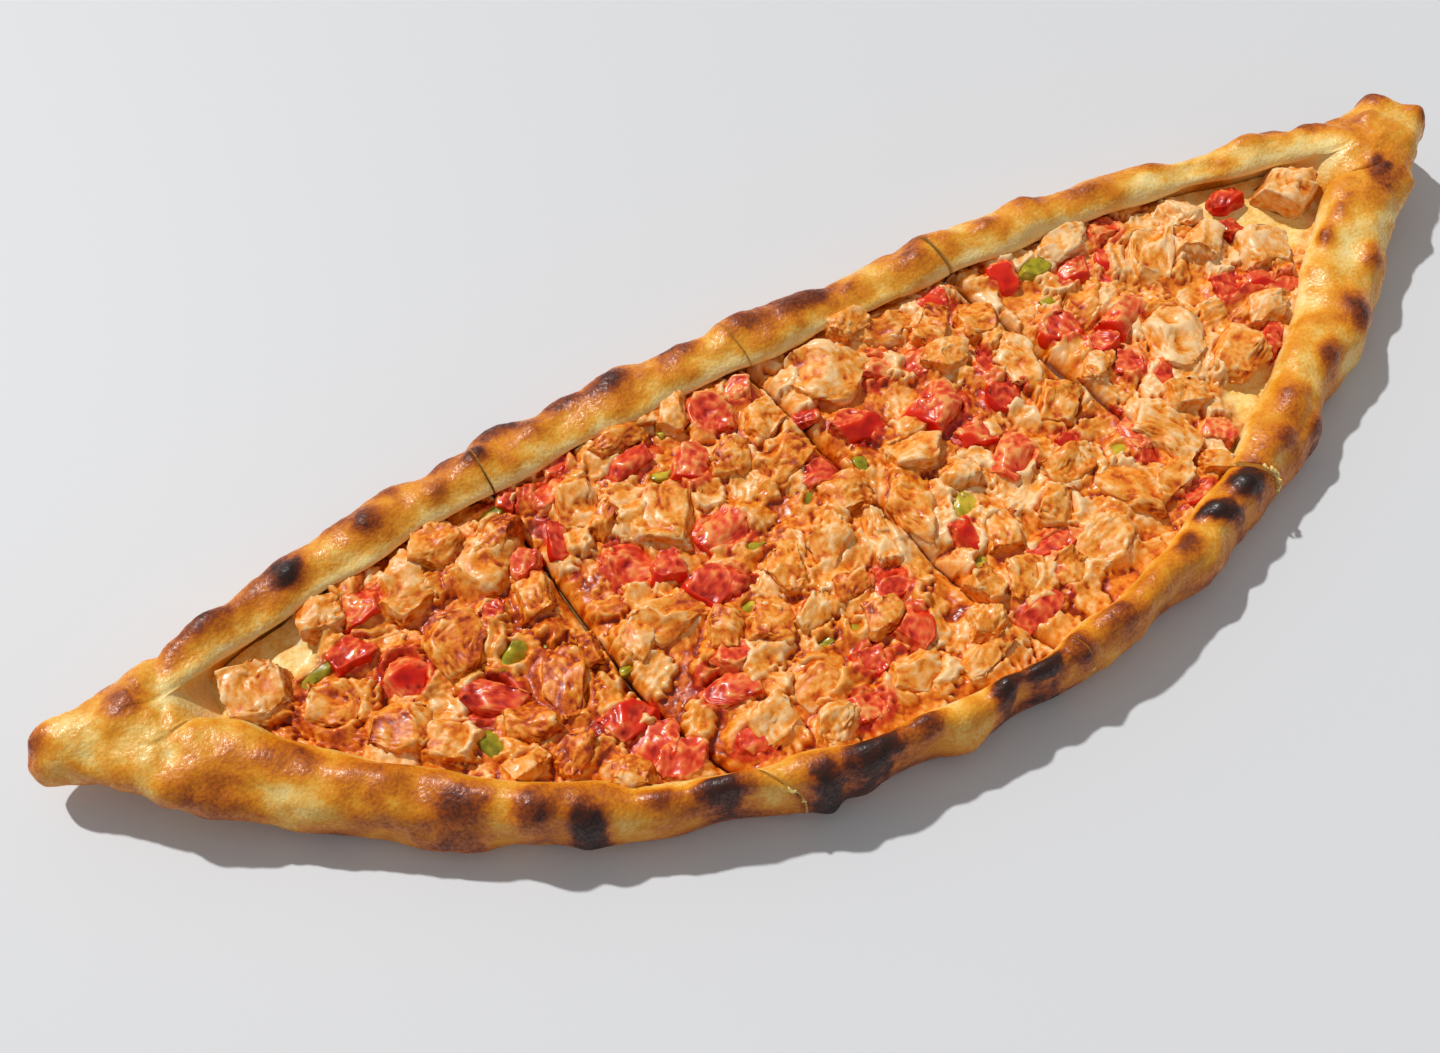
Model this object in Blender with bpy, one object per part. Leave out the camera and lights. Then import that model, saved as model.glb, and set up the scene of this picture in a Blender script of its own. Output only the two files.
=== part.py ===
"""A Turkish pide: a boat of bread with folded rims, cut into four slices, filled with
chicken, tomato and green pepper on a bed of sauce and cheese.

Metres, +Z up. X runs from nose to nose, +Y is the straighter long side, and the origin
is the middle of the footprint on the surface that the pide lies on.
"""

import math
import random

import bmesh
import bpy
from mathutils import Vector, noise

MM = 0.001

# The boat, seen from above.
HALF_LENGTH = 250 * MM
NEAR_BELLY = -78.4 * MM  # the bulging long side
FAR_BELLY = 78.6 * MM  # the straighter long side
SEAM_Y = 38 * MM  # where both rims are pinched together at the noses
HOLLOW_HALF = 206 * MM  # from the middle to where the hollow ends
HOLLOW_CLOSING = 14 * MM  # how long the floor takes to climb to the crease over a nose
NEAR_CURVE = 2.1
FAR_CURVE = 2.7
NOSE_HALF_WIDTH = 9.5 * MM
NOSE_ROUNDING = 12 * MM
END_CAP = 0.4 * MM

# The lips, seen from above: how far they stand from the seam line in the middle of the boat, and how
# their curves run out towards the noses, left and right.
SEAM_OFFSET = 1 * MM
NEAR_OPENING = 106 * MM
NEAR_LIP_CURVE = (2.3, 1.95)
FAR_OPENING = 22 * MM
FAR_LIP_CURVE = (2.6, 3.6)

# The hand-made unevenness of the rims.
WAVE_LENGTHS = (47 * MM, 29 * MM)
EDGE_WAVE = 1.3 * MM
HEIGHT_WAVE = 0.8 * MM
FAR_CALM = 0.7  # the far rim is pressed flatter, so it waves less
WAVE_FADE = 20 * MM

# The rims, in section.
RIM_HEIGHT = 21 * MM
LIP_HEIGHT_SHARE = 0.70
CLOSED_LIP_SHARE = 0.92
LIP_ANGLES = (60, 30, 0)
RECESS_SHARE = 0.80  # how far in the rim's inner wall stands, under its lip
RECESS_TOP_SHARE = 0.6
FLOOR_THICKNESS = 5 * MM
CREASE_DEPTH = 2.5 * MM
CREASE_HALF_WIDTH = 0.6 * MM
END_LIFT = 9 * MM
END_LIFT_START = 165 * MM
END_FLATTENING = 0.30
LOWEST_END_SHARE = 0.25

# The bed of sauce and cheese.
BED_HALF_LENGTH = 184 * MM
BED_TOP = 9.0 * MM
BED_EDGE_TOP = 7.4 * MM
BED_CLEARANCE = 1.2 * MM
BED_END_NARROWING = 9 * MM
BED_END_SINKING = 0.45
BED_SHARES = (0.0, 0.03, 0.12, 0.5, 0.88, 0.97, 1.0)  # across, where the section has its points

# Knife cuts: x at the middle, slant towards the near side, how far the near end bends on, and slot width.
CUTS = [
    (-95 * MM, 8.5 * MM, 34 * MM, 1.2 * MM),
    (0 * MM, 13.5 * MM, 17 * MM, 1.0 * MM),
    (81.5 * MM, 20.5 * MM, 56 * MM, 2.6 * MM),
]
CUT_REACH = 85 * MM
CUT_RIM_SHARE = 0.5  # the slot is this much of its width where it crosses the rims
CUT_STEPS = 12
BLOCK_LOW = -10 * MM
BLOCK_HEIGHT = 60 * MM

GAP = 0.5 * MM

STATIONS = 58
RIM_STEPS = 8
BED_STATIONS = 34
END_CROWDING = 0.45  # how much closer the stations stand towards the ends

TOPPING_ROUND = 0.93
TOPPING_UNDERSIDE = -0.80

# Toppings: x, y, length, width, height in millimetres, and turn in degrees.
CHICKEN = [
    (-188, 29, 17, 15, 12, 20),
    (-169, 15, 17, 13, 9, -35),
    (-156, 0, 19, 11, 10, -22),
    (-145, -10, 13, 11, 10, 25),
    (-137, 41, 16, 14, 11, 80),
    (-113, 37, 16, 15, 10, 15),
    (-130, 16, 17, 16, 11, 70),
    (-109, -10, 22, 10, 8, 78),
    (-80, 42, 17, 11, 9, 55),
    (-58, 26, 21, 16, 10, 62),
    (-73, -6, 22, 12, 9, -5),
    (-50, -23, 14, 11, 9, 80),
    (-18, 24, 19, 12, 9, 8),
    (-16, 39, 14, 11, 8, 40),
    (11, 46, 20, 18, 10, -30),
    (-8, 5, 14, 12, 9, 5),
    (-6, -12, 20, 8, 8, 82),
    (8, -11, 20, 10, 9, 100),
    (-47, -44, 17, 11, 8, -25),
    (-20, -56, 20, 12, 8, 5),
    (38, 53, 24, 10, 8, -8),
    (65, 40, 13, 12, 9, 60),
    (67, 21, 20, 11, 9, 84),
    (69, 0, 18, 11, 9, 34),
    (70, -36, 21, 13, 9, 105),
    (52, -47, 19, 12, 9, 12),
    (93, -25, 21, 13, 10, 100),
    (99, 30, 18, 11, 8, 32),
    (116, 5, 25, 17, 9, 72),
    (131, -11, 20, 14, 10, 28),
    (131, 35, 26, 12, 8, 42),
    (149, 45, 13, 12, 8, 20),
    (165, 19, 16, 13, 10, 10),
    (189, 34, 18, 14, 11, 12),
]
TOMATO = [
    (-151, 41, 14, 9, 8, 25),
    (-148, 15, 15, 12, 6, 50),
    (-130, -3, 18, 9, 7, -38),
    (-97, -38, 14, 13, 6, 20),
    (-75, 16, 17, 13, 6, 75),
    (-29, 50, 15, 11, 8, 75),
    (-17, 54, 10, 8, 8, 20),
    (-45, 12, 18, 10, 6, 22),
    (-70, -33, 17, 10, 7, -22),
    (-12, -28, 12, 10, 7, 0),
    (34, 17, 17, 11, 9, 18),
    (45, -9, 15, 13, 8, 30),
    (57, 54, 12, 8, 7, 5),
    (84, 52, 9, 10, 8, 0),
    (124, 51, 11, 8, 8, -10),
    (104, -8, 10, 6, 7, 80),
]
PEPPER = [
    (-118, 6, 12, 6, 5, 30),
    (22, -17, 11, 7, 5, 0),
]

DOUGH_COLOUR = (0.78, 0.52, 0.22)
BED_COLOUR = (0.86, 0.50, 0.20)
CHICKEN_COLOUR = (0.90, 0.66, 0.38)
TOMATO_COLOUR = (0.75, 0.06, 0.04)
PEPPER_COLOUR = (0.48, 0.52, 0.08)


def material(name, colour, roughness):
    made = bpy.data.materials.new(name)
    made.use_nodes = True
    shader = made.node_tree.nodes["Principled BSDF"]
    shader.inputs["Base Color"].default_value = (*colour, 1.0)
    shader.inputs["Roughness"].default_value = roughness
    shader.inputs["Metallic"].default_value = 0.0
    return made


def smoothstep(low, high, value):
    share = min(1.0, max(0.0, (value - low) / (high - low)))
    return share * share * (3 - 2 * share)


def wave(x, phase):
    """An uneven hand-made edge, from -1 to 1."""
    slow, quick = (math.tau * x / length for length in WAVE_LENGTHS)
    return 0.6 * math.sin(slow + phase) + 0.4 * math.sin(quick + 2 * phase)


def end_rounding(x):
    inward = max(0.0, abs(x) - (HALF_LENGTH - NOSE_ROUNDING))
    return math.sqrt(max(0.0, 1 - (inward / NOSE_ROUNDING) ** 2))


def half_width(x, belly, curve):
    """From the seam line out to one side's edge. The lens shape runs into a blunt nose."""
    share = min(1.0, abs(x) / HALF_LENGTH)
    lens = abs(belly) * (1 - share**curve)
    nose = NOSE_HALF_WIDTH * share**2
    return (lens**4 + nose**4) ** 0.25 * end_rounding(x)


def near_edge(x):
    reach = half_width(x, NEAR_BELLY - SEAM_Y, NEAR_CURVE)
    return SEAM_Y - reach + EDGE_WAVE * wave(x, 0.7) * min(1.0, reach / WAVE_FADE)


def far_edge(x):
    reach = half_width(x, FAR_BELLY - SEAM_Y, FAR_CURVE)
    return SEAM_Y + reach + FAR_CALM * EDGE_WAVE * wave(x, 2.1) * min(1.0, reach / WAVE_FADE)


def openness(x):
    """1 where the boat is open, falling to 0 where the rims close over a nose."""
    return 1 - smoothstep(HOLLOW_HALF - HOLLOW_CLOSING, HOLLOW_HALF + 4 * MM, abs(x))


def lip_opening(x, widest, curves):
    """How far a lip stands from the seam at x. At the noses only the crease is left."""
    share = min(1.0, abs(x) / HOLLOW_HALF)
    curve = curves[0] if x < 0 else curves[1]
    return max(CREASE_HALF_WIDTH, widest * (1 - share**curve))


def near_lip(x):
    opening = lip_opening(x, NEAR_OPENING, NEAR_LIP_CURVE)
    return SEAM_Y - SEAM_OFFSET - opening + EDGE_WAVE * wave(x, 4.0) * openness(x)


def far_lip(x):
    opening = lip_opening(x, FAR_OPENING, FAR_LIP_CURVE)
    return SEAM_Y - SEAM_OFFSET + opening + FAR_CALM * EDGE_WAVE * wave(x, 5.2) * openness(x)


def lift(x):
    return END_LIFT * smoothstep(END_LIFT_START, HALF_LENGTH, abs(x))


def rim_height(x, phase):
    flattened = 1 - END_FLATTENING * smoothstep(HOLLOW_HALF, HALF_LENGTH, abs(x))
    return (RIM_HEIGHT + HEIGHT_WAVE * wave(x, phase)) * flattened * max(LOWEST_END_SHARE, end_rounding(x))


def floor_height(x):
    """Top of the dough under the filling. It climbs to a shallow crease over the noses."""
    crease = rim_height(x, 1.0) - CREASE_DEPTH * max(LOWEST_END_SHARE, end_rounding(x))
    return crease + (FLOOR_THICKNESS - crease) * openness(x)


def rim_section(edge, lip, height, floor, closed):
    """One rim's section from its underside, out round the edge, over the lip, down to the floor."""
    middle = (edge + lip) / 2
    reach = (lip - edge) / 2
    half = height / 2
    nose = height * (LIP_HEIGHT_SHARE + (CLOSED_LIP_SHARE - LIP_HEIGHT_SHARE) * closed)
    points = []
    for step in range(RIM_STEPS + 1):
        angle = math.radians(270 - 180 * step / RIM_STEPS)
        points.append((middle + reach * math.cos(angle), half + half * math.sin(angle)))
    for degrees in LIP_ANGLES:
        angle = math.radians(degrees)
        points.append((middle + reach * math.cos(angle), nose + (height - nose) * math.sin(angle)))
    recess = RECESS_SHARE + 0.9 * (1 - RECESS_SHARE) * closed
    wall = edge + (lip - edge) * recess
    return points + [(wall, floor + (nose - floor) * RECESS_TOP_SHARE), (wall, floor)]


def boat_section(x):
    """The closed outline of the dough at x, as (y, z) points."""
    closed = 1 - openness(x)
    floor = floor_height(x)
    near = rim_section(near_edge(x), near_lip(x), rim_height(x, 1.0), floor, closed)
    far = rim_section(far_edge(x), far_lip(x), rim_height(x, 3.0), floor, closed)
    raised = lift(x)
    return [(y, z + raised) for y, z in near + far[::-1]]


def bed_section(x):
    """The closed outline of the filling's bed at x, as (y, z) points."""
    near_wall = near_edge(x) + RECESS_SHARE * (near_lip(x) - near_edge(x))
    far_wall = far_edge(x) + RECESS_SHARE * (far_lip(x) - far_edge(x))
    along = abs(x) / BED_HALF_LENGTH
    inner = BED_CLEARANCE + BED_END_NARROWING * smoothstep(0.80, 1.0, along)
    low, high = near_wall + inner, far_wall - inner
    bottom = floor_height(x) + lift(x) + GAP
    edge_top = bottom + BED_EDGE_TOP - FLOOR_THICKNESS
    thickness = BED_TOP - FLOOR_THICKNESS - GAP
    top = bottom + thickness * (1 - BED_END_SINKING * smoothstep(0.85, 1.0, along))
    heights = (bottom, edge_top, top, top, top, edge_top, bottom)
    return [(low + (high - low) * share, z) for share, z in zip(BED_SHARES, heights)]


def lofted(stations, section):
    """A closed skin through the sections, by extruding the first ring from station to station."""
    made = bmesh.new()
    ring = [made.verts.new((stations[0], y, z)) for y, z in section(stations[0])]
    edges = [made.edges.new((a, b)) for a, b in zip(ring, ring[1:] + ring[:1])]
    made.faces.new(ring)
    for x in stations[1:]:
        order = {tuple(vert.co): index for index, vert in enumerate(ring)}
        grown = bmesh.ops.extrude_edge_only(made, edges=edges)["geom"]
        edges = [item for item in grown if isinstance(item, bmesh.types.BMEdge) and item.is_boundary]
        # Each new vertex still lies on an old one, and takes that one's place in the ring.
        new_verts = [item for item in grown if isinstance(item, bmesh.types.BMVert)]
        ring = sorted(new_verts, key=lambda vert: order[tuple(vert.co)])
        for vert, (y, z) in zip(ring, section(x)):
            vert.co = (x, y, z)
    made.faces.new(ring[::-1])
    bmesh.ops.recalc_face_normals(made, faces=made.faces)
    bmesh.ops.triangulate(made, faces=made.faces)
    return made


def cut_line(cut, y):
    """x of a knife cut at y."""
    middle, slant, bend, _ = cut
    share = y / CUT_REACH
    return middle - slant * share + bend * max(0.0, -share) ** 3


def cut_width(cut, y):
    across = 1 - smoothstep(0.45, 0.85, abs(y) / CUT_REACH)
    return cut[3] * (CUT_RIM_SHARE + (1 - CUT_RIM_SHARE) * across)


def as_object(name, made, finish=None, smooth_below=None):
    """The bmesh as an object in the scene, shaded smooth across edges under smooth_below degrees."""
    mesh = bpy.data.meshes.new(name)
    made.to_mesh(mesh)
    made.free()
    if finish:
        mesh.materials.append(finish)
    if smooth_below:
        mesh.shade_smooth()
        mesh.set_sharp_from_angle(angle=math.radians(smooth_below))
    piece = bpy.data.objects.new(name, mesh)
    bpy.context.scene.collection.objects.link(piece)
    return piece


def slice_block(name, left, right):
    """A block that fills the space between two knife cuts, a little higher than the pide."""
    made = bmesh.new()
    across = [CUT_REACH * (2 * step / CUT_STEPS - 1) for step in range(CUT_STEPS + 1)]
    outer = 1.1 * HALF_LENGTH
    start = [(cut_line(left, y) + cut_width(left, y) / 2 if left else -outer, y) for y in across]
    stop = [(cut_line(right, y) - cut_width(right, y) / 2 if right else outer, y) for y in across]
    base = [made.verts.new((x, y, BLOCK_LOW)) for x, y in stop + start[::-1]]
    face = made.faces.new(base)
    grown = bmesh.ops.extrude_face_region(made, geom=[face])["geom"]
    risen = [item for item in grown if isinstance(item, bmesh.types.BMVert)]
    bmesh.ops.translate(made, verts=risen, vec=(0, 0, BLOCK_HEIGHT))
    bmesh.ops.recalc_face_normals(made, faces=made.faces)
    bmesh.ops.triangulate(made, faces=made.faces)
    block = as_object(name, made)
    block.hide_render = True
    block.display_type = "WIRE"
    return block


def stations_between(half, count):
    """Stations from end to end, closer together towards both ends."""
    spread = [-math.cos(math.pi * step / (count - 1)) for step in range(count)]
    return [half * value * (1 - END_CROWDING + END_CROWDING * abs(value)) for value in spread]


def sliced(kind, whole, finish):
    """The whole shape as one object for each slice of the pide."""
    bounds = [None, *CUTS, None]
    for number, (left, right) in enumerate(zip(bounds, bounds[1:]), 1):
        piece = as_object(f"{kind}_slice_{number}", whole.copy(), finish, smooth_below=50)
        keep = piece.modifiers.new("slice", "BOOLEAN")
        keep.operation = "INTERSECT"
        keep.solver = "EXACT"
        keep.object = slice_block(f"{kind}_block_{number}", left, right)


def topping(name, finish, row, squareness, unevenness, seed):
    """A diced piece: a ball pressed towards a block, made uneven, with a flat underside."""
    x, y, length, width, height, turn = row
    size = Vector((length, width, height)) * MM / 2
    shift = Vector((seed * 7.3, seed * 3.1, seed * 1.7))
    made = bmesh.new()
    bmesh.ops.create_icosphere(made, subdivisions=2, radius=1.0)
    for vert in made.verts:
        spot = vert.co.copy()
        block = Vector([math.copysign(abs(value) ** squareness, value) for value in spot])
        block *= TOPPING_ROUND + unevenness * noise.noise(spot * 1.3 + shift)
        block.z = max(block.z, TOPPING_UNDERSIDE)
        vert.co = Vector([a * b for a, b in zip(block, size)])
    underside = min(vert.co.z for vert in made.verts)
    piece = as_object(name, made, finish, smooth_below=60)
    piece.location = (x * MM, y * MM, BED_TOP + lift(x * MM) + GAP - underside)
    piece.rotation_euler.z = math.radians(turn)


def toppings(kind, rows, finish, squareness, unevenness):
    chooser = random.Random(kind)
    for number, row in enumerate(rows, 1):
        topping(f"{kind}_{number:02d}", finish, row, squareness, unevenness, chooser.uniform(0, 10))


def main():
    for item in list(bpy.data.objects):
        bpy.data.objects.remove(item)
    boat = lofted(stations_between(HALF_LENGTH - END_CAP, STATIONS), boat_section)
    bed = lofted(stations_between(BED_HALF_LENGTH, BED_STATIONS), bed_section)
    sliced("dough", boat, material("baked dough", DOUGH_COLOUR, 0.55))
    sliced("filling", bed, material("sauce and melted cheese", BED_COLOUR, 0.35))
    toppings("chicken", CHICKEN, material("fried chicken", CHICKEN_COLOUR, 0.4), 0.72, 0.22)
    toppings("tomato", TOMATO, material("cooked tomato", TOMATO_COLOUR, 0.25), 0.66, 0.18)
    toppings("pepper", PEPPER, material("green pepper", PEPPER_COLOUR, 0.3), 0.75, 0.12)


main()
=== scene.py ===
# %% [markdown]
# # A Turkish pide, cut into four
# A pide is a long flat bread with its rims folded up over a filling. The bread, the bed of sauce and the
# larger pieces already exist as plain solids. Here each of them is replaced by a modelled surface that
# is as lumpy, browned and wet as the food. The plain solids stay in place, hidden, for the physics.

import math
import random

import bmesh
import bpy
import numpy as np
from mathutils import Matrix, Vector, noise


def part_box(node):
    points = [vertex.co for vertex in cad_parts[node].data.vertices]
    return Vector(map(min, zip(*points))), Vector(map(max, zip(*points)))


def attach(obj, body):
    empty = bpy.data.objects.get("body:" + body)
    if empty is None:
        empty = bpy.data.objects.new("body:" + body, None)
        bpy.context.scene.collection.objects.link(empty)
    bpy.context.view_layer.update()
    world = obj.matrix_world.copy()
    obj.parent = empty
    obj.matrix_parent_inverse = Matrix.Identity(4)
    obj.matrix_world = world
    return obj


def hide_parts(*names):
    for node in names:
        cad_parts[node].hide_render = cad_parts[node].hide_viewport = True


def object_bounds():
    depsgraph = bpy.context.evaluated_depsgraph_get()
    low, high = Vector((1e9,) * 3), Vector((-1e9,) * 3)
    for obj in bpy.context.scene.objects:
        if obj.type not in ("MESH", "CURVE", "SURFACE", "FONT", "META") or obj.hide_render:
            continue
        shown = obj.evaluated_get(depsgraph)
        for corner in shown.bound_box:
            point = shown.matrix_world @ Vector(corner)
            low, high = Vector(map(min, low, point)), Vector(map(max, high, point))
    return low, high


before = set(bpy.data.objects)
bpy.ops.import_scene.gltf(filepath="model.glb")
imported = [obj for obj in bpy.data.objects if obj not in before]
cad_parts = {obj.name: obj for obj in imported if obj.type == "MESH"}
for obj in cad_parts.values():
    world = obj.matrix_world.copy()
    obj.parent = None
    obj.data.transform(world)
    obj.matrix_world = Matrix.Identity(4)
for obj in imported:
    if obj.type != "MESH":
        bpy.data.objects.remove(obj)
plain_low, plain_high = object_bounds()
MM = 0.001
LENGTH, WIDTH, HEIGHT = (plain_high - plain_low) / MM
print(f"the bread is {LENGTH:.0f} x {WIDTH:.0f} x {HEIGHT:.0f} mm")

# %% [markdown]
# ## Small helpers
# Shapes are worked out in millimetres with numpy, because a crust has tens of thousands of points. A
# smooth step and soft noise are the two tools that make food look grown and not built.


# %% A soft step
def step(low, high, value):
    """0 below low, 1 above high, and a soft slope between."""
    share = np.clip((value - low) / (high - low), 0.0, 1.0)
    return share * share * (3 - 2 * share)


print("a quarter of the way up a step:", float(step(0.0, 1.0, 0.25)))


# %% Soft noise
def lumps(points, size, seed):
    """Soft noise from about -1 to 1 at each point, with lumps about size millimetres across."""
    shift = Vector((seed * 13.1, seed * 7.7, seed * 3.3))
    return np.array([noise.noise(Vector(point) / size + shift) for point in points]) * 1.6


def ridges(points, size, seed):
    """Sharp crests with soft valleys, 0 to 1, like torn fibres."""
    return 1 - np.minimum(1, np.abs(lumps(points, size, seed)) * 1.6)


row_of_points = np.outer(np.arange(40), (1.0, 0.3, 0.0))
sampled = lumps(row_of_points, 6, 1)
print("noise along a line runs from", sampled.min().round(2), "to", sampled.max().round(2))


# %% A smooth curve
def spline(points, samples=600):
    """A smooth curve through a few points, as many samples along it."""
    points = np.array(points, float)
    ends = np.vstack([2 * points[0] - points[1], points, 2 * points[-1] - points[-2]])
    along = np.linspace(0, len(points) - 1, samples)
    index = np.minimum(along.astype(int), len(points) - 2)
    f = (along - index)[:, None]
    a, b, c, d = (ends[index + k] for k in range(4))
    return 0.5 * (2 * b + (c - a) * f + (2 * a - 5 * b + 4 * c - d) * f**2 + (3 * b - a - 3 * c + d) * f**3)


print("middle of a smooth curve over three points:", spline([(0, 0), (1, 1), (2, 0)])[300].round(2))

# %% [markdown]
# ## Between bmesh and numpy
# A bmesh knows which points are joined, and numpy moves thousands of points at once. So points are read
# out in millimetres, worked on together, and written back. A number can be kept at each point as a
# layer, which a material reads later by its name.


# %% Points in and out
def read_points(made):
    return np.array([vert.co for vert in made.verts]) / MM


def read_normals(made):
    made.normal_update()
    return np.array([vert.normal for vert in made.verts])


def move_points(made, points):
    for vert, point in zip(made.verts, points * MM):
        vert.co = point


def write_layer(made, name, values):
    """A number at each point, which a material reads by name."""
    layer = made.verts.layers.float.get(name) or made.verts.layers.float.new(name)
    for vert, value in zip(made.verts, values):
        vert[layer] = value


# %% [markdown]
# ## Settling and hollows
# Dough and meat have no sharp corners of their own. Settling moves each point towards the middle of its
# neighbours, and a small step back keeps the piece from shrinking. The same step tells how deep a
# point lies: where the neighbours' middle is higher than the point, it is in a hollow. Heat misses
# hollows, so the crust is paler there. In the filling the same number makes hollows darker and crests
# paler, partly for sauce gathered there and partly as painted light and shade.


# %% Settling and hollows
def settle(made, points, share, rounds, back=0.0):
    """Moves each point share of the way to its neighbours' middle, and back times that way back again."""
    ends = np.array([[edge.verts[0].index, edge.verts[1].index] for edge in made.edges])
    count = np.bincount(ends.ravel(), minlength=len(points))[:, None]
    for _ in range(rounds):
        for amount in (share, -share * back):
            total = np.zeros_like(points)
            np.add.at(total, ends[:, 0], points[ends[:, 1]])
            np.add.at(total, ends[:, 1], points[ends[:, 0]])
            points = points + amount * (total / count - points)
    return points


def hollows(made, rounds):
    """How far each point lies below its surroundings, in millimetres."""
    made.verts.index_update()
    points = read_points(made)
    return ((settle(made, points, 0.6, rounds) - points) * read_normals(made)).sum(1)


# %% [markdown]
# ## A finished piece
# Every finished bmesh becomes an object at the origin, shaded smooth, with its place in its mesh. It
# rides on the one body there is, gets its material, and hides the plain solid it stands for.


# %% Finishing
def finish_piece(name, made, material, replaced=()):
    """The bmesh as a smooth piece on the frame."""
    mesh = bpy.data.meshes.new(name)
    made.to_mesh(mesh)
    made.free()
    mesh.shade_smooth()
    mesh.materials.append(material)
    piece = bpy.data.objects.new(name, mesh)
    bpy.context.scene.collection.objects.link(piece)
    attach(piece, "root")
    if replaced:
        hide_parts(*replaced)
    return piece


print("plain solids to replace:", len(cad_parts))

# %% [markdown]
# ## Materials
# One function turns a hex colour into the linear values that a shader wants, and one adds a node with
# its settings, colour stops and links. Everything else is a plain list of nodes. A pattern's scale is
# always worked out from the size in millimetres that its spots have on the food.


# %% Colours
def colour(code):
    """An sRGB hex colour as linear red, green, blue and alpha."""
    values = [int(code[i : i + 2], 16) / 255 for i in (1, 3, 5)]
    return [v / 12.92 if v <= 0.04045 else ((v + 0.055) / 1.055) ** 2.4 for v in values] + [1.0]


print("a middle grey in linear light:", round(colour("#808080")[0], 3))


# %% Nodes
def new_material(name):
    """A material with its node tree and its shader."""
    material = bpy.data.materials.new(name)
    material.use_nodes = True
    return material, material.node_tree, material.node_tree.nodes["Principled BSDF"]


def add(tree, kind, settings=None, stops=(), **inputs):
    """A node with its settings and colour stops, and its inputs set to values or linked from sockets."""
    node = tree.nodes.new(kind)
    for key, value in (settings or {}).items():
        setattr(node, key, value)
    for number, (position, code) in enumerate(stops):
        elements = node.color_ramp.elements
        element = elements[number] if number < 2 else elements.new(position)
        element.position = position
        element.color = colour(code)
    for key, value in inputs.items():
        socket = node.inputs[int(key[1:]) if key[1:].isdigit() else key.replace("_", " ")]
        if isinstance(value, bpy.types.NodeSocket):
            tree.links.new(value, socket)
        else:
            socket.default_value = value
    return node


# %% Pattern sizes
TIMES_PLUS = {"operation": "MULTIPLY_ADD"}


def spots(size):
    """Scale of a noise whose spots are about size millimetres across."""
    return 1 / (size * MM)


print("spots 5 mm across need a scale of", spots(5))

# %% [markdown]
# ## The baked dough
# Bread crust gets its colour from the Maillard reaction: pale cream where it stayed moist, gold where it
# dried, brown and then black where it rose close to the oven's roof. So one number at each point, how
# far it is baked, drives the colour. Blotches about 6 mm wide and freckles about 1 mm wide break up its
# edges. The skin is covered in fine blisters. Real ones are about half a millimetre wide, too fine to
# show here, so they are drawn twice as coarse. A thin film of oil lies unevenly over them, so the
# crust shines in specks and not in one smooth streak. It is duller where it is charred.

# %% Browning
dough, tree, shader = new_material("baked pide dough")
place = add(tree, "ShaderNodeTexCoord").outputs["Object"]
baked = add(tree, "ShaderNodeAttribute", {"attribute_name": "baked"}).outputs["Fac"]
blotch = add(tree, "ShaderNodeTexNoise", Vector=place, Scale=spots(5.882), Detail=5.0, Roughness=0.62)
freckle = add(tree, "ShaderNodeTexNoise", Vector=place, Scale=spots(1.1111), Detail=3.0, Roughness=0.6)
blotched = add(tree, "ShaderNodeMath", TIMES_PLUS, _0=blotch.outputs["Fac"], _1=0.44, _2=-0.22)
freckled = add(tree, "ShaderNodeMath", TIMES_PLUS, _0=freckle.outputs["Fac"], _1=0.40, _2=-0.20)
uneven = add(tree, "ShaderNodeMath", _0=baked, _1=blotched.outputs[0])
browning = add(tree, "ShaderNodeMath", _0=uneven.outputs[0], _1=freckled.outputs[0])
CRUST_STOPS = [
    (0.00, "#F8DC94"),
    (0.14, "#F2C366"),
    (0.28, "#E89F2A"),
    (0.42, "#DA820E"),
    (0.55, "#BC6206"),
    (0.68, "#8C3C06"),
    (0.82, "#4C1C08"),
    (1.00, "#241008"),
]
skin = add(tree, "ShaderNodeValToRGB", stops=CRUST_STOPS, Fac=browning.outputs[0])
tree.links.new(skin.outputs["Color"], shader.inputs["Base Color"])
print(dough.name, "has", len(CRUST_STOPS), "colours from cream to black")

# %% Blisters and oil
blister = add(tree, "ShaderNodeTexNoise", Vector=place, Scale=spots(1.1111), Detail=2.0)
bump = add(tree, "ShaderNodeBump", Height=blister.outputs["Fac"], Strength=0.5, Distance=0.0006)
oil = add(tree, "ShaderNodeMapRange", Value=freckle.outputs["Fac"])
oil.inputs["From Min"].default_value = 0.35
oil.inputs["From Max"].default_value = 0.65
oil.inputs["To Min"].default_value = 0.15
oil.inputs["To Max"].default_value = 0.52
dull = add(tree, "ShaderNodeMath", TIMES_PLUS, _0=baked, _1=0.15, _2=oil.outputs["Result"])
tree.links.new(dull.outputs[0], shader.inputs["Roughness"])
tree.links.new(bump.outputs["Normal"], shader.inputs["Normal"])
shader.inputs["IOR"].default_value = 1.42
shader.inputs["Subsurface Weight"].default_value = 0.12
shader.inputs["Subsurface Scale"].default_value = 0.002
print(dough.name, "is made of", len(tree.nodes), "nodes")

# %% [markdown]
# ## The outline of the boat
# Seen from above the boat is a lens with one long side straighter than the other, run out into two
# blunt noses. Both rims stand up round a hollow, and over each nose they close into one thick roll.

# %% Main sizes
HALF = LENGTH / 2
SEAM = 0.24 * WIDTH
NEAR_REACH = 0.495 * WIDTH + SEAM
FAR_REACH = 0.496 * WIDTH - SEAM
HOLLOW_HALF = 206.0
NEAR_OPENING = 106.0
FAR_OPENING = 22.0
RIM_HEIGHT = 21.0
FLOOR = 5.0
END_LIFT = 9.0
LIFT_FROM = 165.0
print(f"the line from nose to nose lies {SEAM:.1f} mm to the far side of the middle")

# %% Outer edges
NOSE_ROUND = 12.0
NOSE_HALF_WIDTH = 9.5
LONG_WAVE = 47.0
SHORT_WAVE = 29.0


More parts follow.
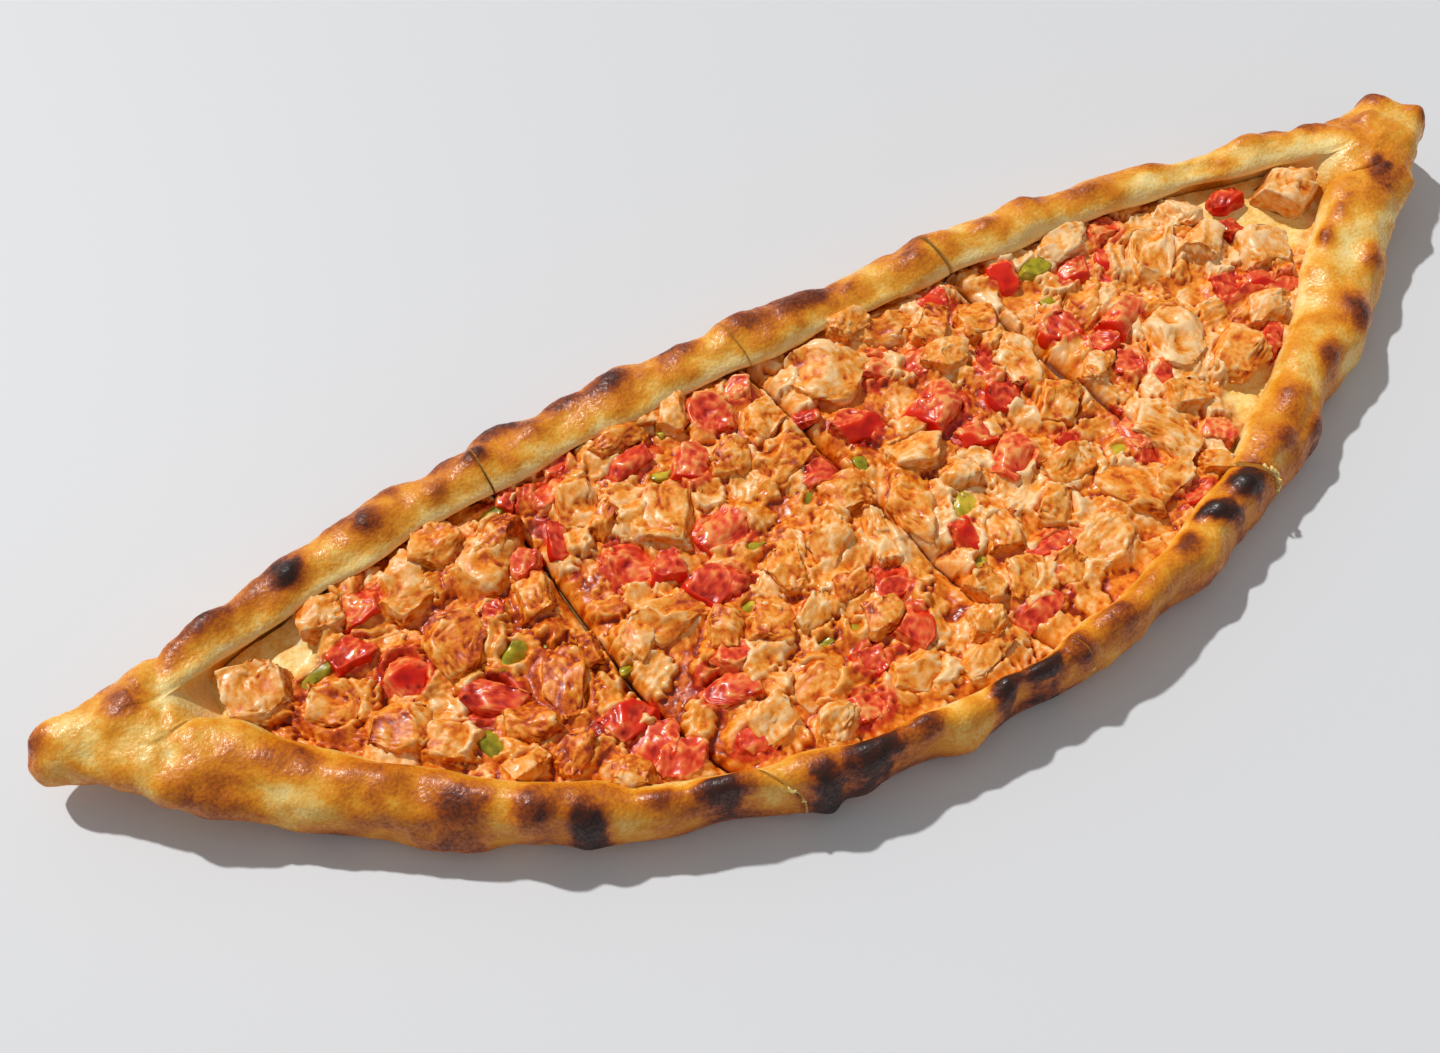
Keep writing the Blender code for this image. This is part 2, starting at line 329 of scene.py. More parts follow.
def end_rounding(x):
    """1 along the boat, falling to 0 round the end of each nose."""
    return np.sqrt(np.clip(1 - (np.maximum(0, np.abs(x) - HALF + NOSE_ROUND) / NOSE_ROUND) ** 2, 0, 1))


def half_width(x, reach, curve):
    """How far one side bulges at x. It never gets thinner than the nose."""
    share = np.minimum(1, np.abs(x) / HALF)
    return ((reach * (1 - share**curve)) ** 4 + (NOSE_HALF_WIDTH * share**2) ** 4) ** 0.25 * end_rounding(x)


def wave(x, phase):
    """The slow waviness that hands leave in a rim."""
    long_turn, short_turn = math.tau * x / LONG_WAVE, math.tau * x / SHORT_WAVE
    return 0.6 * np.sin(long_turn + phase) + 0.4 * np.sin(short_turn + 2 * phase)


def near_edge(x):
    reach = half_width(x, NEAR_REACH, 2.1)
    return SEAM - reach + 1.3 * wave(x, 0.7) * np.minimum(1, reach / 20)


def far_edge(x):
    reach = half_width(x, FAR_REACH, 2.7)
    return SEAM + reach + 0.9 * wave(x, 2.1) * np.minimum(1, reach / 20)


print(f"widest at the middle: {near_edge(0.0):.1f} to {far_edge(0.0):.1f} mm")


# %% Lips of the hollow
def openness(x):
    """1 where the rims stand apart, 0 where they have closed into a nose."""
    return 1 - step(HOLLOW_HALF - 9, HOLLOW_HALF + 4, np.abs(x))


def lip(x, widest, curves):
    """How far a rim's inner lip is from the closing line, with softly run out ends."""
    gap = widest * (1 - (np.abs(x) / HOLLOW_HALF) ** np.where(x < 0, *curves))
    return (gap + np.hypot(gap, 5)) / 2


def near_lip(x):
    return SEAM - 1 - lip(x, NEAR_OPENING, (2.3, 1.95)) + 1.3 * wave(x, 4.0) * openness(x)


def far_lip(x):
    return SEAM - 1 + lip(x, FAR_OPENING, (2.6, 3.6)) + 0.9 * wave(x, 5.2) * openness(x)


print(f"the hollow is {far_lip(0.0) - near_lip(0.0):.1f} mm wide at the middle")


# %% Heights
def lift(x):
    """Both ends curl up off the table."""
    return END_LIFT * step(LIFT_FROM, HALF, np.abs(x))


def rim_height(x, phase):
    flattened = 1 - 0.3 * step(HOLLOW_HALF, HALF, np.abs(x))
    return (RIM_HEIGHT + 0.8 * wave(x, phase)) * flattened * np.maximum(0.25, end_rounding(x))


def floor_height(x):
    """The thin floor, which rises into the crease where the rims close."""
    crease = rim_height(x, 1.0) - 0.5 - 2.0 * (1 - step(HOLLOW_HALF, HOLLOW_HALF + 12, np.abs(x)))
    return crease + (FLOOR - crease) * openness(x)


print(f"the near rim is {rim_height(0.0, 1.0):.1f} mm high at the middle")

# %% [markdown]
# ## The knife cuts
# Three cuts cross the boat and bend away at the near rim. A piece of bread or filling is laid out
# between two cuts, so its end faces follow the knife exactly and the gaps stay open.

# %% Cuts
# Each cut: x at the middle, slant, bend at the near rim, and width of the gap, in millimetres.
CUTS = [(-95.0, 8.5, 34.0, 1.2), (0.0, 13.5, 17.0, 1.0), (81.5, 20.5, 56.0, 2.6)]


def cut_side(cut, y, side):
    """x of one side of a cut at y. side is -1 for the left one and 1 for the right one."""
    middle, slant, bend, gap = cut
    share = y / 85
    width = gap * (1 - 0.5 * step(0.45, 0.85, np.abs(share)))
    return middle - slant * share + bend * np.maximum(0, -share) ** 3 + side * width / 2


def slice_limits(number, y, end):
    """Left and right x of a slice at y. end is how far the outer slices run."""
    left = -end if number == 0 else cut_side(CUTS[number - 1], y, 1)
    right = end if number == 3 else cut_side(CUTS[number], y, -1)
    return left, right


def stretch(number, count):
    """Shares from 0 to 1 along a slice, closer together at a nose."""
    even = np.linspace(0, 1, count)
    return even**1.3 if number == 0 else 1 - (1 - even) ** 1.3 if number == 3 else even


for number in range(4):
    left, right = slice_limits(number, 0.0, HALF)
    print(f"slice {number + 1} runs from {left:.1f} to {right:.1f} mm")


# %% [markdown]
# ## The rims in section
# The near rim is a fat roll that leans in over the filling, the far one a flatter flap with a thin
# overhanging lip. Each is a curve through a few points: how far across the rim, how high, and how much
# the point belongs to the floor.

# %% Rim sections
NEAR_ROLL = spline(
    [
        (0.50, 0.00, 0),
        (0.26, 0.00, 0),
        (0.08, 0.07, 0),
        (0.00, 0.30, 0),
        (0.02, 0.58, 0),
        (0.13, 0.82, 0),
        (0.34, 0.97, 0),
        (0.60, 1.00, 0),
        (0.82, 0.93, 0),
        (0.96, 0.80, 0),
        (1.00, 0.67, 0),
        (0.96, 0.57, 0),
        (0.86, 0.50, 0),
        (0.80, 0.40, 0),
        (0.79, 0.30, 0.5),
        (0.82, 0.24, 1),
    ]
)
FAR_FLAP = spline(
    [
        (0.50, 0.00, 0),
        (0.26, 0.00, 0),
        (0.08, 0.08, 0),
        (0.00, 0.32, 0),
        (0.03, 0.60, 0),
        (0.15, 0.84, 0),
        (0.38, 0.98, 0),
        (0.62, 1.00, 0),
        (0.84, 0.95, 0),
        (0.97, 0.87, 0),
        (1.00, 0.79, 0),
        (0.95, 0.73, 0),
        (0.85, 0.66, 0),
        (0.80, 0.50, 0),
        (0.78, 0.35, 0.5),
        (0.81, 0.24, 1),
    ]
)
print("rim curves have", len(NEAR_ROLL), "and", len(FAR_FLAP), "samples")

# %% [markdown]
# ## One closed ring round the boat
# A section through the dough is a closed ring: over the near rim, across the floor, over the far rim
# and back underneath. Every section has the same number of points, so rings side by side make a
# clean grid. Towards a nose the ring is blended into one round roll.

# %% Ring
RIM_POINTS = 74
FLOOR_POINTS = 8
UNDER_POINTS = 10


def ring_plan():
    """For each point round the section: which part it lies on, and how far along that part."""
    rim = np.linspace(0, 1, RIM_POINTS)
    inner = np.linspace(0, 1, FLOOR_POINTS + 2)[1:-1]
    under = np.linspace(0, 1, UNDER_POINTS + 2)[1:]
    part = np.repeat([0, 1, 2, 3], [RIM_POINTS, FLOOR_POINTS, RIM_POINTS, UNDER_POINTS + 1])
    return part, np.concatenate([rim, inner, rim[::-1], under])


print("points round one section:", len(ring_plan()[0]))


# %% Section at any x
# Which of a rim curve's 16 points have a place on the round roll of a nose, and that place in degrees.
ROUND_POINTS = [0, 1, 2, 3, 4, 5, 6, 7, 8, 15]
ROUND_TURNS = [270, 240, 215, 195, 172, 150, 130, 117, 110, 98]
FLOOR_TURN = 98
WHOLE_TURNS = 540


def rim_point(curve, along, edge, inner, height, floor, closed):
    """y and z of points on a rim's curve. Where the hollow is closed the recess fills up."""
    across, up, on_floor = (np.interp(along, np.linspace(0, 1, len(curve)), curve[:, k]) for k in range(3))
    late = step(0.55, 0.75, along)
    across = across + (1 - across) * closed * late
    up = up + (0.9 - up) * closed * late
    on_floor = np.maximum(on_floor, closed * step(0.7, 0.85, along))
    z = up * height
    return edge + (inner - edge) * across, z + (floor - z) * on_floor


def boat_section(x, part, along):
    """y and z of every point of the dough's skin, at each point's own x."""
    closed = 1 - openness(x)
    floor = floor_height(x)
    edge_n, lip_n, edge_f, lip_f = near_edge(x), near_lip(x), far_edge(x), far_lip(x)
    tall_n, tall_f = rim_height(x, 1.0), rim_height(x, 3.0)
    y_n, z_n = rim_point(NEAR_ROLL, along, edge_n, lip_n, tall_n, floor, closed)
    y_f, z_f = rim_point(FAR_FLAP, along, edge_f, lip_f, tall_f, floor, closed)
    wall_n, wall_f = edge_n + 0.82 * (lip_n - edge_n), edge_f + 0.81 * (lip_f - edge_f)
    wall_n, wall_f = wall_n + (lip_n - wall_n) * closed, wall_f + (lip_f - wall_f) * closed
    under_n, under_f = (edge_n + lip_n) / 2, (edge_f + lip_f) / 2
    y = np.choose(part, [y_n, wall_n + (wall_f - wall_n) * along, y_f, under_f + (under_n - under_f) * along])
    z = np.choose(part, [z_n, floor, z_f, 0 * x])
    # Past the hollow the section turns into one round roll.
    round_near = np.interp(along, np.linspace(0, 1, 16)[ROUND_POINTS], ROUND_TURNS)
    turn = np.choose(part, [round_near, FLOOR_TURN - 16 * along, WHOLE_TURNS - round_near, 0 * x])
    middle, reach = (edge_n + edge_f) / 2, (edge_f - edge_n) / 2
    rise = np.sin(np.radians(turn))
    dome_y = middle + reach * np.cos(np.radians(turn))
    dome_z = tall_n / 2 * (1 + np.sign(rise) * np.abs(rise) ** 0.9)
    domed = step(HOLLOW_HALF - 16, HOLLOW_HALF + 15, np.abs(x))
    dome_y, dome_z = np.where(part == 3, y, dome_y), np.where(part == 3, 0, dome_z)
    return y + (dome_y - y) * domed, z + (dome_z - z) * domed + lift(x)


# %% [markdown]
# ## Scorch marks and folds
# A pide bakes in under ten minutes right by the fire, so wherever the rim bulges up it scorches. Each
# mark is both a swelling and a darker patch.

# %% Scorch marks
# Each mark: x, y, length and width in millimetres, turn in degrees, and how dark.
SCORCHES = [
    (-168, 61.5, 21, 14.5, 25, 0.39),
    (-165, 56.5, 12, 7.5, 25, 0.9),
    (-193, 52, 24, 9, 15, 0.55),
    (-146, 68.5, 18, 10.5, 10, 0.49),
    (-139, 61.5, 10, 8.5, 0, 0.36),
    (-128, 70.5, 11, 8.5, 0, 0.46),
    (-117, 62.5, 10, 8.5, 0, 0.36),
    (-111, 72.5, 15, 9.5, 0, 0.42),
    (-101, 67.5, 11, 8.5, 0, 0.46),
    (-92, 74.5, 18, 8.5, 0, 0.68),
    (-82, 68.5, 10, 8.5, 0, 0.36),
    (-69, 74.5, 13, 8.5, 0, 0.53),
    (-51, 72.5, 19, 10.5, 0, 0.62),
    (-28, 73.5, 18, 9.5, 0, 0.53),
    (-8, 72.5, 16, 9.5, 0, 0.42),
    (18, 71.5, 29, 11.5, -4, 0.6),
    (57, 68.5, 15, 8.5, 0, 0.33),
    (63, 73.5, 13, 7.5, 0, 0.42),
    (85, 68.5, 11, 7.5, 0, 0.3),
    (104, 70.5, 13, 7.5, 0, 0.26),
    (123, 64.5, 13, 8.5, -20, 0.36),
    (151, 63.5, 13, 8.5, -15, 0.36),
    (184, 56.5, 15, 8.5, -20, 0.3),
    (209, 50, 12, 8, -20, 0.55),
    (235, 46, 10, 8, 0, 0.6),
    (-219, 38, 15, 14, 20, 0.62),
    (-243, 42, 8, 9, 0, 0.5),
    (-186, 5, 22, 17, -45, 0.33),
    (-168, -13, 20, 13, -45, 0.37),
    (-150, -30, 18, 14, -40, 0.45),
    (-134, -40, 13, 10, -35, 0.49),
    (-122, -51, 12, 10, -30, 0.95),
    (-104, -55, 12, 9, -20, 0.25),
    (-87, -61, 19, 11, -20, 0.85),
    (-61, -72, 11, 10, 0, 0.95),
    (-45, -71, 19, 13, 10, 0.95),
    (-28, -71, 10, 9, 0, 0.41),
    (-3, -72, 9, 17, -30, 0.9),
    (10, -73, 17, 12, 0, 0.95),
    (22, -73, 9, 11, 0, 0.41),
    (38, -71, 15, 12, 0, 0.37),
    (55, -56, 8, 4, 10, 0.61),
    (70, -61, 12, 12, 20, 0.57),
    (85, -57, 19, 9, -35, 0.95),
    (99, -53, 15, 11, -20, 1),
    (120, -46, 11, 9, 30, 0.33),
    (131, -37, 16, 12, 40, 0.41),
    (134, -46, 10, 7, 30, 0.53),
    (152, -28, 13, 10, 40, 0.57),
    (171, -19, 14, 9, 40, 0.57),
    (190, -5, 11, 8, 40, 0.37),
    (183, 10, 8, 6, 40, 0.29),
    (193, 15, 8, 6, 40, 0.25),
    (214, 21, 15, 11, 55, 0.66),
    (243, 36, 8, 9, 0, 0.5),
    (226, 42, 9, 7, 0, 0.35),
    (197, 56, 13, 7, -20, 0.5),
]
print(len(SCORCHES), "scorch marks")

# %% Knobs and creases
# Each knob of a nose: x, y, length, width, turn, and how far it stands out. One is a dent.
KNOBS = [
    (-234, 39, 26, 19, 10, 2.6),
    (-214, 47, 16, 10, 20, 1.3),
    (-197, 20, 22, 12, -45, 1.5),
    (232, 47, 15, 12, 0, 2.2),
    (243, 37, 9, 11, 0, 1.8),
    (222, 33, 13, 11, 0, 1.5),
    (206, 38, 10, 16, 0, -1.2),
]
# Each crease is a groove where the dough was pinched and folded: from, to, and depth.
CREASES = [
    ((-207, 52), (-213, 18), 1.5),
    ((-200, 30), (-206, 10), 0.6),
    ((-210, 46), (-199, 52), 0.5),
    ((30, 72), (44, 76), 0.8),
    ((-56, 72), (-48, 68), 0.6),
    ((230, 52), (239, 36), 1.0),
    ((240, 50), (246, 40), 0.9),
    ((205, 46), (214, 52), 0.8),
]
CREASE_WIDTH = 2.4
print(len(KNOBS), "knobs and", len(CREASES), "creases")

# %% [markdown]
# ## Fields
# A mark, knob or crease is a soft ellipse or line on the plan. A field adds them all up at every point
# of the crust: how scorched it is there, how far it swells, how deep it is creased.


# %% Fields of marks, knobs and creases
def in_ellipse(points, x, y, length, width, turn):
    """Place along and across an ellipse, as shares of its half length and half width."""
    dx, dy = points[:, 0] - x, points[:, 1] - y
    c, s = math.cos(math.radians(turn)), math.sin(math.radians(turn))
    return (dx * c + dy * s) / (0.5 * length), (dy * c - dx * s) / (0.5 * width)


def mark_field(points, ragged):
    """How scorched each point is, 0 to 1, and how much it swells there."""
    clear = np.ones(len(points))
    swell = np.zeros(len(points))
    for x, y, length, width, turn, dark in SCORCHES:
        far = np.hypot(*in_ellipse(points, x, y, length, width, turn))
        core = 1 - step(0.3, 1.3, far + 0.25 * ragged)
        clear *= 1 - dark * (0.62 * core + 0.38 * np.exp(-0.45 * far**2))
        swell = np.maximum(swell, (0.4 + 0.6 * dark) * np.exp(-1.3 * far**2))
    return 1 - clear, swell


def knob_field(points):
    """How far the noses' knobs stand out, in millimetres."""
    rise = np.zeros(len(points))
    for x, y, length, width, turn, tall in KNOBS:
        along, across = in_ellipse(points, x, y, length, width, turn)
        rise += tall * np.exp(-(along**2) - across**2)
    return rise


def crease_field(points):
    """Depth of the folds' grooves at each point, in millimetres."""
    depth = np.zeros(len(points))
    for start, stop, deep in CREASES:
        start, along = np.array(start, float), np.array(stop, float) - start
        share = np.clip((points[:, :2] - start) @ along / (along @ along), 0, 1)
        away = np.linalg.norm(points[:, :2] - start - share[:, None] * along, axis=1)
        depth = np.maximum(depth, deep * np.exp(-((away / CREASE_WIDTH) ** 2)) * (1 - 0.6 * share))
    return depth


# %% [markdown]
# ## The skin of one slice
# Each slice starts as a flat grid. One direction runs along the slice, the other round its section, and
# every point is moved to its place on the skin. A point's x depends on its y, because the cuts are
# slanted and bent, and its y on its x, so both are worked out in turn until they agree. Then the seam
# is welded, and the noses are evened out, because there the grid runs together.

# %% Grid on the skin
GRAIN = 0.9
NOSE_END = HALF - 0.15
AGREEING_ROUNDS = 14


def crust_grid(number):
    """A slice's skin, one way along the slice and the other round its section."""
    part, along = ring_plan()
    span = np.subtract(*slice_limits(number, 0.0, NOSE_END)[::-1])
    rows = int(span / GRAIN)
    made = bmesh.new()
    bmesh.ops.create_grid(made, x_segments=rows, y_segments=len(part) - 1, size=0.5)
    flat = np.array([vert.co for vert in made.verts]) + 0.5
    row = np.rint(flat[:, 0] * rows).astype(int)
    column = np.rint(flat[:, 1] * (len(part) - 1)).astype(int)
    share = stretch(number, rows + 1)[row]
    part, along = part[column], along[column]
    y = np.zeros(len(flat))
    for _ in range(AGREEING_ROUNDS):
        left, right = slice_limits(number, y, NOSE_END)
        x = left + (right - left) * share
        y, z = boat_section(x, part, along)
    move_points(made, np.column_stack([x, y, z]))
    bmesh.ops.remove_doubles(made, verts=made.verts, dist=0.01 * MM)
    bmesh.ops.recalc_face_normals(made, faces=made.faces)
    made.verts.index_update()
    return made


def even_out_nose(made):
    points = read_points(made)
    evened = settle(made, points, 0.6, 40, back=0.95)
    by_nose = step(180, 208, np.abs(points[:, 0]))[:, None]
    move_points(made, points + (evened - points) * by_nose)


# %% [markdown]
# ## Swelling
# The skin is pushed in and out along its normals. Slow swellings 24 mm wide come from the gas in the
# dough, dents 10 and 4.5 mm wide from fingers, and blisters 2 mm wide from the heat. Scorched places
# swell most. The inside of the hollow stays quieter, and the underside is pressed flat by the peel.


# %% Swelling
def outer_share(points):
    """1 on the outer side of the rims and on the noses, 0 inside the hollow."""
    past_lips = np.maximum(near_lip(points[:, 0]) - points[:, 1], points[:, 1] - far_lip(points[:, 0]))
    on_nose = step(HOLLOW_HALF, HOLLOW_HALF + 12, np.abs(points[:, 0]))
    return np.maximum(step(0.0, 4.0, past_lips), on_nose)


def swell_crust(made):
    """Pushes the skin out, and returns how scorched, how clear of the table and how far outside it is."""
    points, normals = read_points(made), read_normals(made)
    ragged = lumps(points, 3.2, 1)
    scorched, swell = mark_field(points, ragged)
    above = step(1.0, 7.0, points[:, 2] - lift(points[:, 0]))
    outside = outer_share(points)
    push = 1.7 * lumps(points, 24, 2) + 0.8 * lumps(points, 10, 3) + 0.28 * lumps(points, 4.5, 4)
    push += 0.10 * lumps(points, 1.8, 5) + 2.7 * swell * outside - crease_field(points)
    push *= above * (0.35 + 0.65 * outside) * (1 + 0.6 * step(205, 225, points[:, 0]))
    push += knob_field(points) * above
    points = points + normals * push[:, None]
    points[:, 2] = np.maximum(points[:, 2], 0)
    move_points(made, points)
    return scorched, above, outside


# %% [markdown]
# ## Browning
# A rim is browner on its bumps and paler in its folds. The fire side, low on the near rim, is browner
# too, and the right end stayed pale. The scorch marks come on top. Inside the hollow, next to the wet
# filling, dough hardly browns at all.


# %% Browning by place
def brown_crust(made, scorched, above, outside):
    points = read_points(made)
    rim_brown = 0.25 + 0.21 * lumps(points, 17, 6) + 0.09 * lumps(points, 6, 7) - 0.12 * hollows(made, 30)
    rim_brown -= 0.08 * step(110, 160, points[:, 0]) + 0.05 * step(170, 205, -points[:, 0])
    near_side = 1 - step(SEAM - 12, SEAM, points[:, 1])
    low_side = 1 - step(3, 16, points[:, 2] - lift(points[:, 0]))
    hot_side = near_side * step(-110, -60, points[:, 0]) * (1 - step(110, 150, points[:, 0]))
    base = rim_brown + 0.03 * near_side - 0.22 * (1 - outside)
    base += (0.10 + 0.14 * hot_side) * low_side * outside
    baked_now = np.clip(base + (1 - base) * scorched * above * np.clip(outside + 0.5, 0, 1), 0.02, 1)
    write_layer(made, "baked", baked_now)


# %% [markdown]
# ## Cut faces
# The knife opened the soft inside, which never browned. The open ends are filled, and a narrow inset
# keeps the pale crumb from fading into the brown skin round it.

# %% Cut faces
CRUMB_BAKED = 0.06


def close_ends(made):
    open_ends = [edge for edge in made.edges if edge.is_boundary]
    caps = bmesh.ops.holes_fill(made, edges=open_ends, sides=0)["faces"]
    bmesh.ops.inset_region(made, faces=caps, thickness=0.4 * MM, use_boundary=True, use_even_offset=False)
    layer = made.verts.layers.float["baked"]
    for vert in (vert for cap in caps for vert in cap.verts):
        vert[layer] = CRUMB_BAKED
    bmesh.ops.triangulate(made, faces=caps)
    bmesh.ops.recalc_face_normals(made, faces=made.faces)


# %% The four pieces of crust
for number in range(4):
    made = crust_grid(number)
    even_out_nose(made)
    brown_crust(made, *swell_crust(made))
    close_ends(made)
    count = sum(len(face.verts) - 2 for face in made.faces)
    finish_piece(f"crust_{number + 1}", made, dough, [f"dough_slice_{number + 1}"])
    print(f"crust_{number + 1}: {count} triangles")

# %% [markdown]
# ## Pieces of filling: where they lie
# The larger pieces have a plain solid each, whose box gives their place. Between them lie smaller
# ones, listed by kind.

# %% Smaller pieces of chicken
# Each smaller piece: x, y, length and width in millimetres, and turn in degrees.
CHICKEN_BITS = [
    (-163, 44, 12, 11, 10),
    (-150, 51, 11, 9, 30),
    (-124, 48, 13, 11, 0),
    (-105, 43, 12, 10, 20),
    (-105, 20, 12, 10, 60),
    (-99, -5, 11, 7, 80),
    (-124, -17, 15, 10, -40),
    (-129, -27, 11, 8, 10),
    (-116, -31, 11, 9, 30),
    (-106, -44, 12, 8, -35),
    (-60, 55, 17, 9, 10),
    (-47, 60, 15, 8, -20),
    (-39, 56, 12, 9, 50),
    (-76, 31, 15, 7, 35),
    (-69, 28, 12, 9, 80),
    (-31, 33, 15, 9, 10),
    (-85, -8, 11, 9, 20),
    (-61, -17, 12, 10, 70),
    (-36, -26, 13, 10, 10),
    (-36, -9, 12, 11, 40),
    (-23, -24, 9, 8, 0),
    (-20, -7, 14, 12, 20),
    (-20, -36, 10, 9, 60),
    (-64, -48, 13, 11, 0),
    (-49, -58, 12, 8, 20),
    (-1, -62, 19, 7, 12),
    (27, 58, 12, 8, 0),
    (49, 44, 12, 10, 50),
    (47, 33, 12, 11, 10),
    (18, 6, 17, 10, -15),
    (27, -6, 14, 11, 30),
    (57, -20, 14, 11, 0),
    (47, -30, 13, 12, 40),
    (84, -39, 12, 10, 10),
    (27, -29, 13, 11, 70),
    (37, -50, 12, 9, 15),
    (12, -42, 12, 10, 0),
    (24, -45, 11, 9, 40),
    (6, -52, 11, 10, 20),
    (106, -16, 12, 10, 0),
    (88, 7, 10, 9, 30),
    (150, 31, 15, 13, 20),
    (150, -2, 17, 7, 10),
    (99, -41, 10, 6, -40),
    (107, 52, 15, 9, 5),
]
print(len(CHICKEN_BITS), "smaller pieces of chicken")

# %% Smaller pieces of tomato
TOMATO_BITS = [
    (-159, 29, 11, 9, 0),
    (-98, 55, 11, 6, 60),
    (-99, -28, 13, 8, 0),
    (-91, -46, 13, 9, 10),
    (-118, 21, 7, 6, 0),
    (-91, 31, 12, 5, 85),
    (-103, 31, 9, 8, 20),
    (-86, 49, 10, 9, 0),
    (-80, 58, 11, 8, 20),
    (-66, 8, 9, 8, 30),
    (-55, -3, 13, 10, 0),
    (-61, 46, 16, 8, 15),
    (-43, 36, 12, 10, 40),
    (-11, 16, 10, 8, 0),
    (-3, 35, 8, 7, 0),
    (-63, -26, 9, 8, 30),
    (-70, -50, 12, 8, 0),
    (-29, -46, 8, 8, 10),
    (-14, -43, 12, 10, 30),
    (-38, -58, 12, 8, 10),
    (25, 41, 15, 10, -20),
    (38, 36, 16, 6, 5),
    (40, 4, 9, 8, 0),
    (57, 25, 10, 5, 70),
    (56, 12, 12, 9, 20),
    (8, 25, 12, 9, -30),
    (63, -12, 7, 5, 0),
    (82, -20, 14, 5, 80),
    (16, -25, 11, 8, -50),
    (22, -57, 12, 7, 10),
    (38, -40, 14, 6, 0),
    (114, 37, 12, 5, 60),
    (87, 25, 11, 10, 0),
    (95, 13, 8, 8, 20),
    (107, 18, 13, 8, 20),
    (98, 3, 9, 8, 60),
    (104, 42, 13, 8, 0),
    (145, 12, 11, 9, 30),
    (155, 9, 10, 7, 0),
    (163, 4, 10, 6, 10),
    (162, 31, 8, 6, 0),
    (145, -13, 12, 7, 45),
    (107, -32, 10, 9, -20),
    (169, 43, 12, 6, 10),
    (86, -46, 9, 5, 0),
]
print(len(TOMATO_BITS), "smaller pieces of tomato")

# %% Smaller pieces of pepper
PEPPER_BITS = [
    (-171, 27, 13, 5, 15),
    (-107, 51, 9, 5, 0),
    (-108, 5, 6, 4, 40),
    (-135, -17, 10, 5, -60),
    (-54, 38, 5, 4, 0),
    (-45, 52, 4, 4, 0),
    (-52, -14, 6, 5, 30),
    (-41, 3, 5, 4, 0),
    (-18, 9, 5, 4, 20),
    (3, 12, 6, 4, 80),
    (4, 41, 5, 4, 0),
    (-70, -25, 6, 5, 10),
    (-38, -34, 5, 4, 0),
    (-28, -35, 6, 5, 40),
    (-4, -35, 5, 4, 0),
    (16, -34, 5, 4, 0),
    (94, 48, 9, 7, 10),
    (90, 35, 5, 5, 0),
    (76, -22, 6, 5, 20),
    (53, 27, 5, 4, 60),
    (-92, -14, 5, 3, 0),
]
print(len(PEPPER_BITS), "smaller pieces of pepper")

# %% Where the filling is missing
# Each patch of bare melted cheese: x, y and radius.
BARE_PATCHES = [
    (-190, 38, 16),
    (-176, 40, 12),
    (178, 36, 24),
    (196, 36, 16),
    (160, 48, 12),
    (128, -27, 13),
    (112, -38, 8),
]


# %% All places together
def node_places(*kinds):
    """x, y, half length, half width and turn of each larger piece of these kinds, from its solid's box."""
    places = []
    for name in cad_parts:
        if name.startswith(kinds):
            low, high = (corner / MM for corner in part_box(name))
            middle, half = (low + high) / 2, (high - low) / 2
            places.append((middle.x, middle.y, half.x, half.y, 0))
    return places


def bit_places(bits):
    return [(x, y, length / 2, width / 2, turn) for x, y, length, width, turn in bits]


LARGE = node_places("chicken", "tomato", "pepper")
SMALL = bit_places(CHICKEN_BITS + TOMATO_BITS + PEPPER_BITS)
TOMATO_PLACES = node_places("tomato") + bit_places(TOMATO_BITS)
print(f"{len(LARGE)} larger pieces and {len(SMALL)} smaller ones")

# %% [markdown]
# ## The bed of filling
# Between the larger pieces lies what cooked down: torn flakes of chicken, tomato pulp and cheese, all
# melted together in orange oil. It is a height field over the hollow. Each flake is a small tilted
# plate with a ragged outline. Where two overlap the higher one shows, as with shreds, and a sheet of
# melted sauce rises between them and joins them softly.

# %% Flakes
FLAKE_COLUMNS, FLAKE_ROWS = 45, 19
FLAKE_START = (-206, -82)
FLAKE_SPACING = (9.3, 8.8)
BELOW_ALL = -4.0
STEEPEST = 0.26
chooser = random.Random(11)
FLAKES = []
for i in range(FLAKE_COLUMNS):
    for j in range(FLAKE_ROWS):
        x = FLAKE_START[0] + FLAKE_SPACING[0] * i + chooser.uniform(-4.4, 4.4)
        y = FLAKE_START[1] + FLAKE_SPACING[1] * j + chooser.uniform(-4.2, 4.2)
        long = chooser.uniform(4.4, 8.6)
        wide = chooser.uniform(3.2, 5.4)
        tall = chooser.uniform(-0.6, 3.0)
        rise = chooser.uniform(-STEEPEST, STEEPEST)
        lean = chooser.uniform(-STEEPEST, STEEPEST)
        turn = chooser.uniform(0, math.pi)
        FLAKES.append((x, y, long, wide, turn, tall, rise, lean))
FLAKE_TONES = np.array([chooser.random() for _ in FLAKES])
print(f"{len(FLAKES)} flakes")


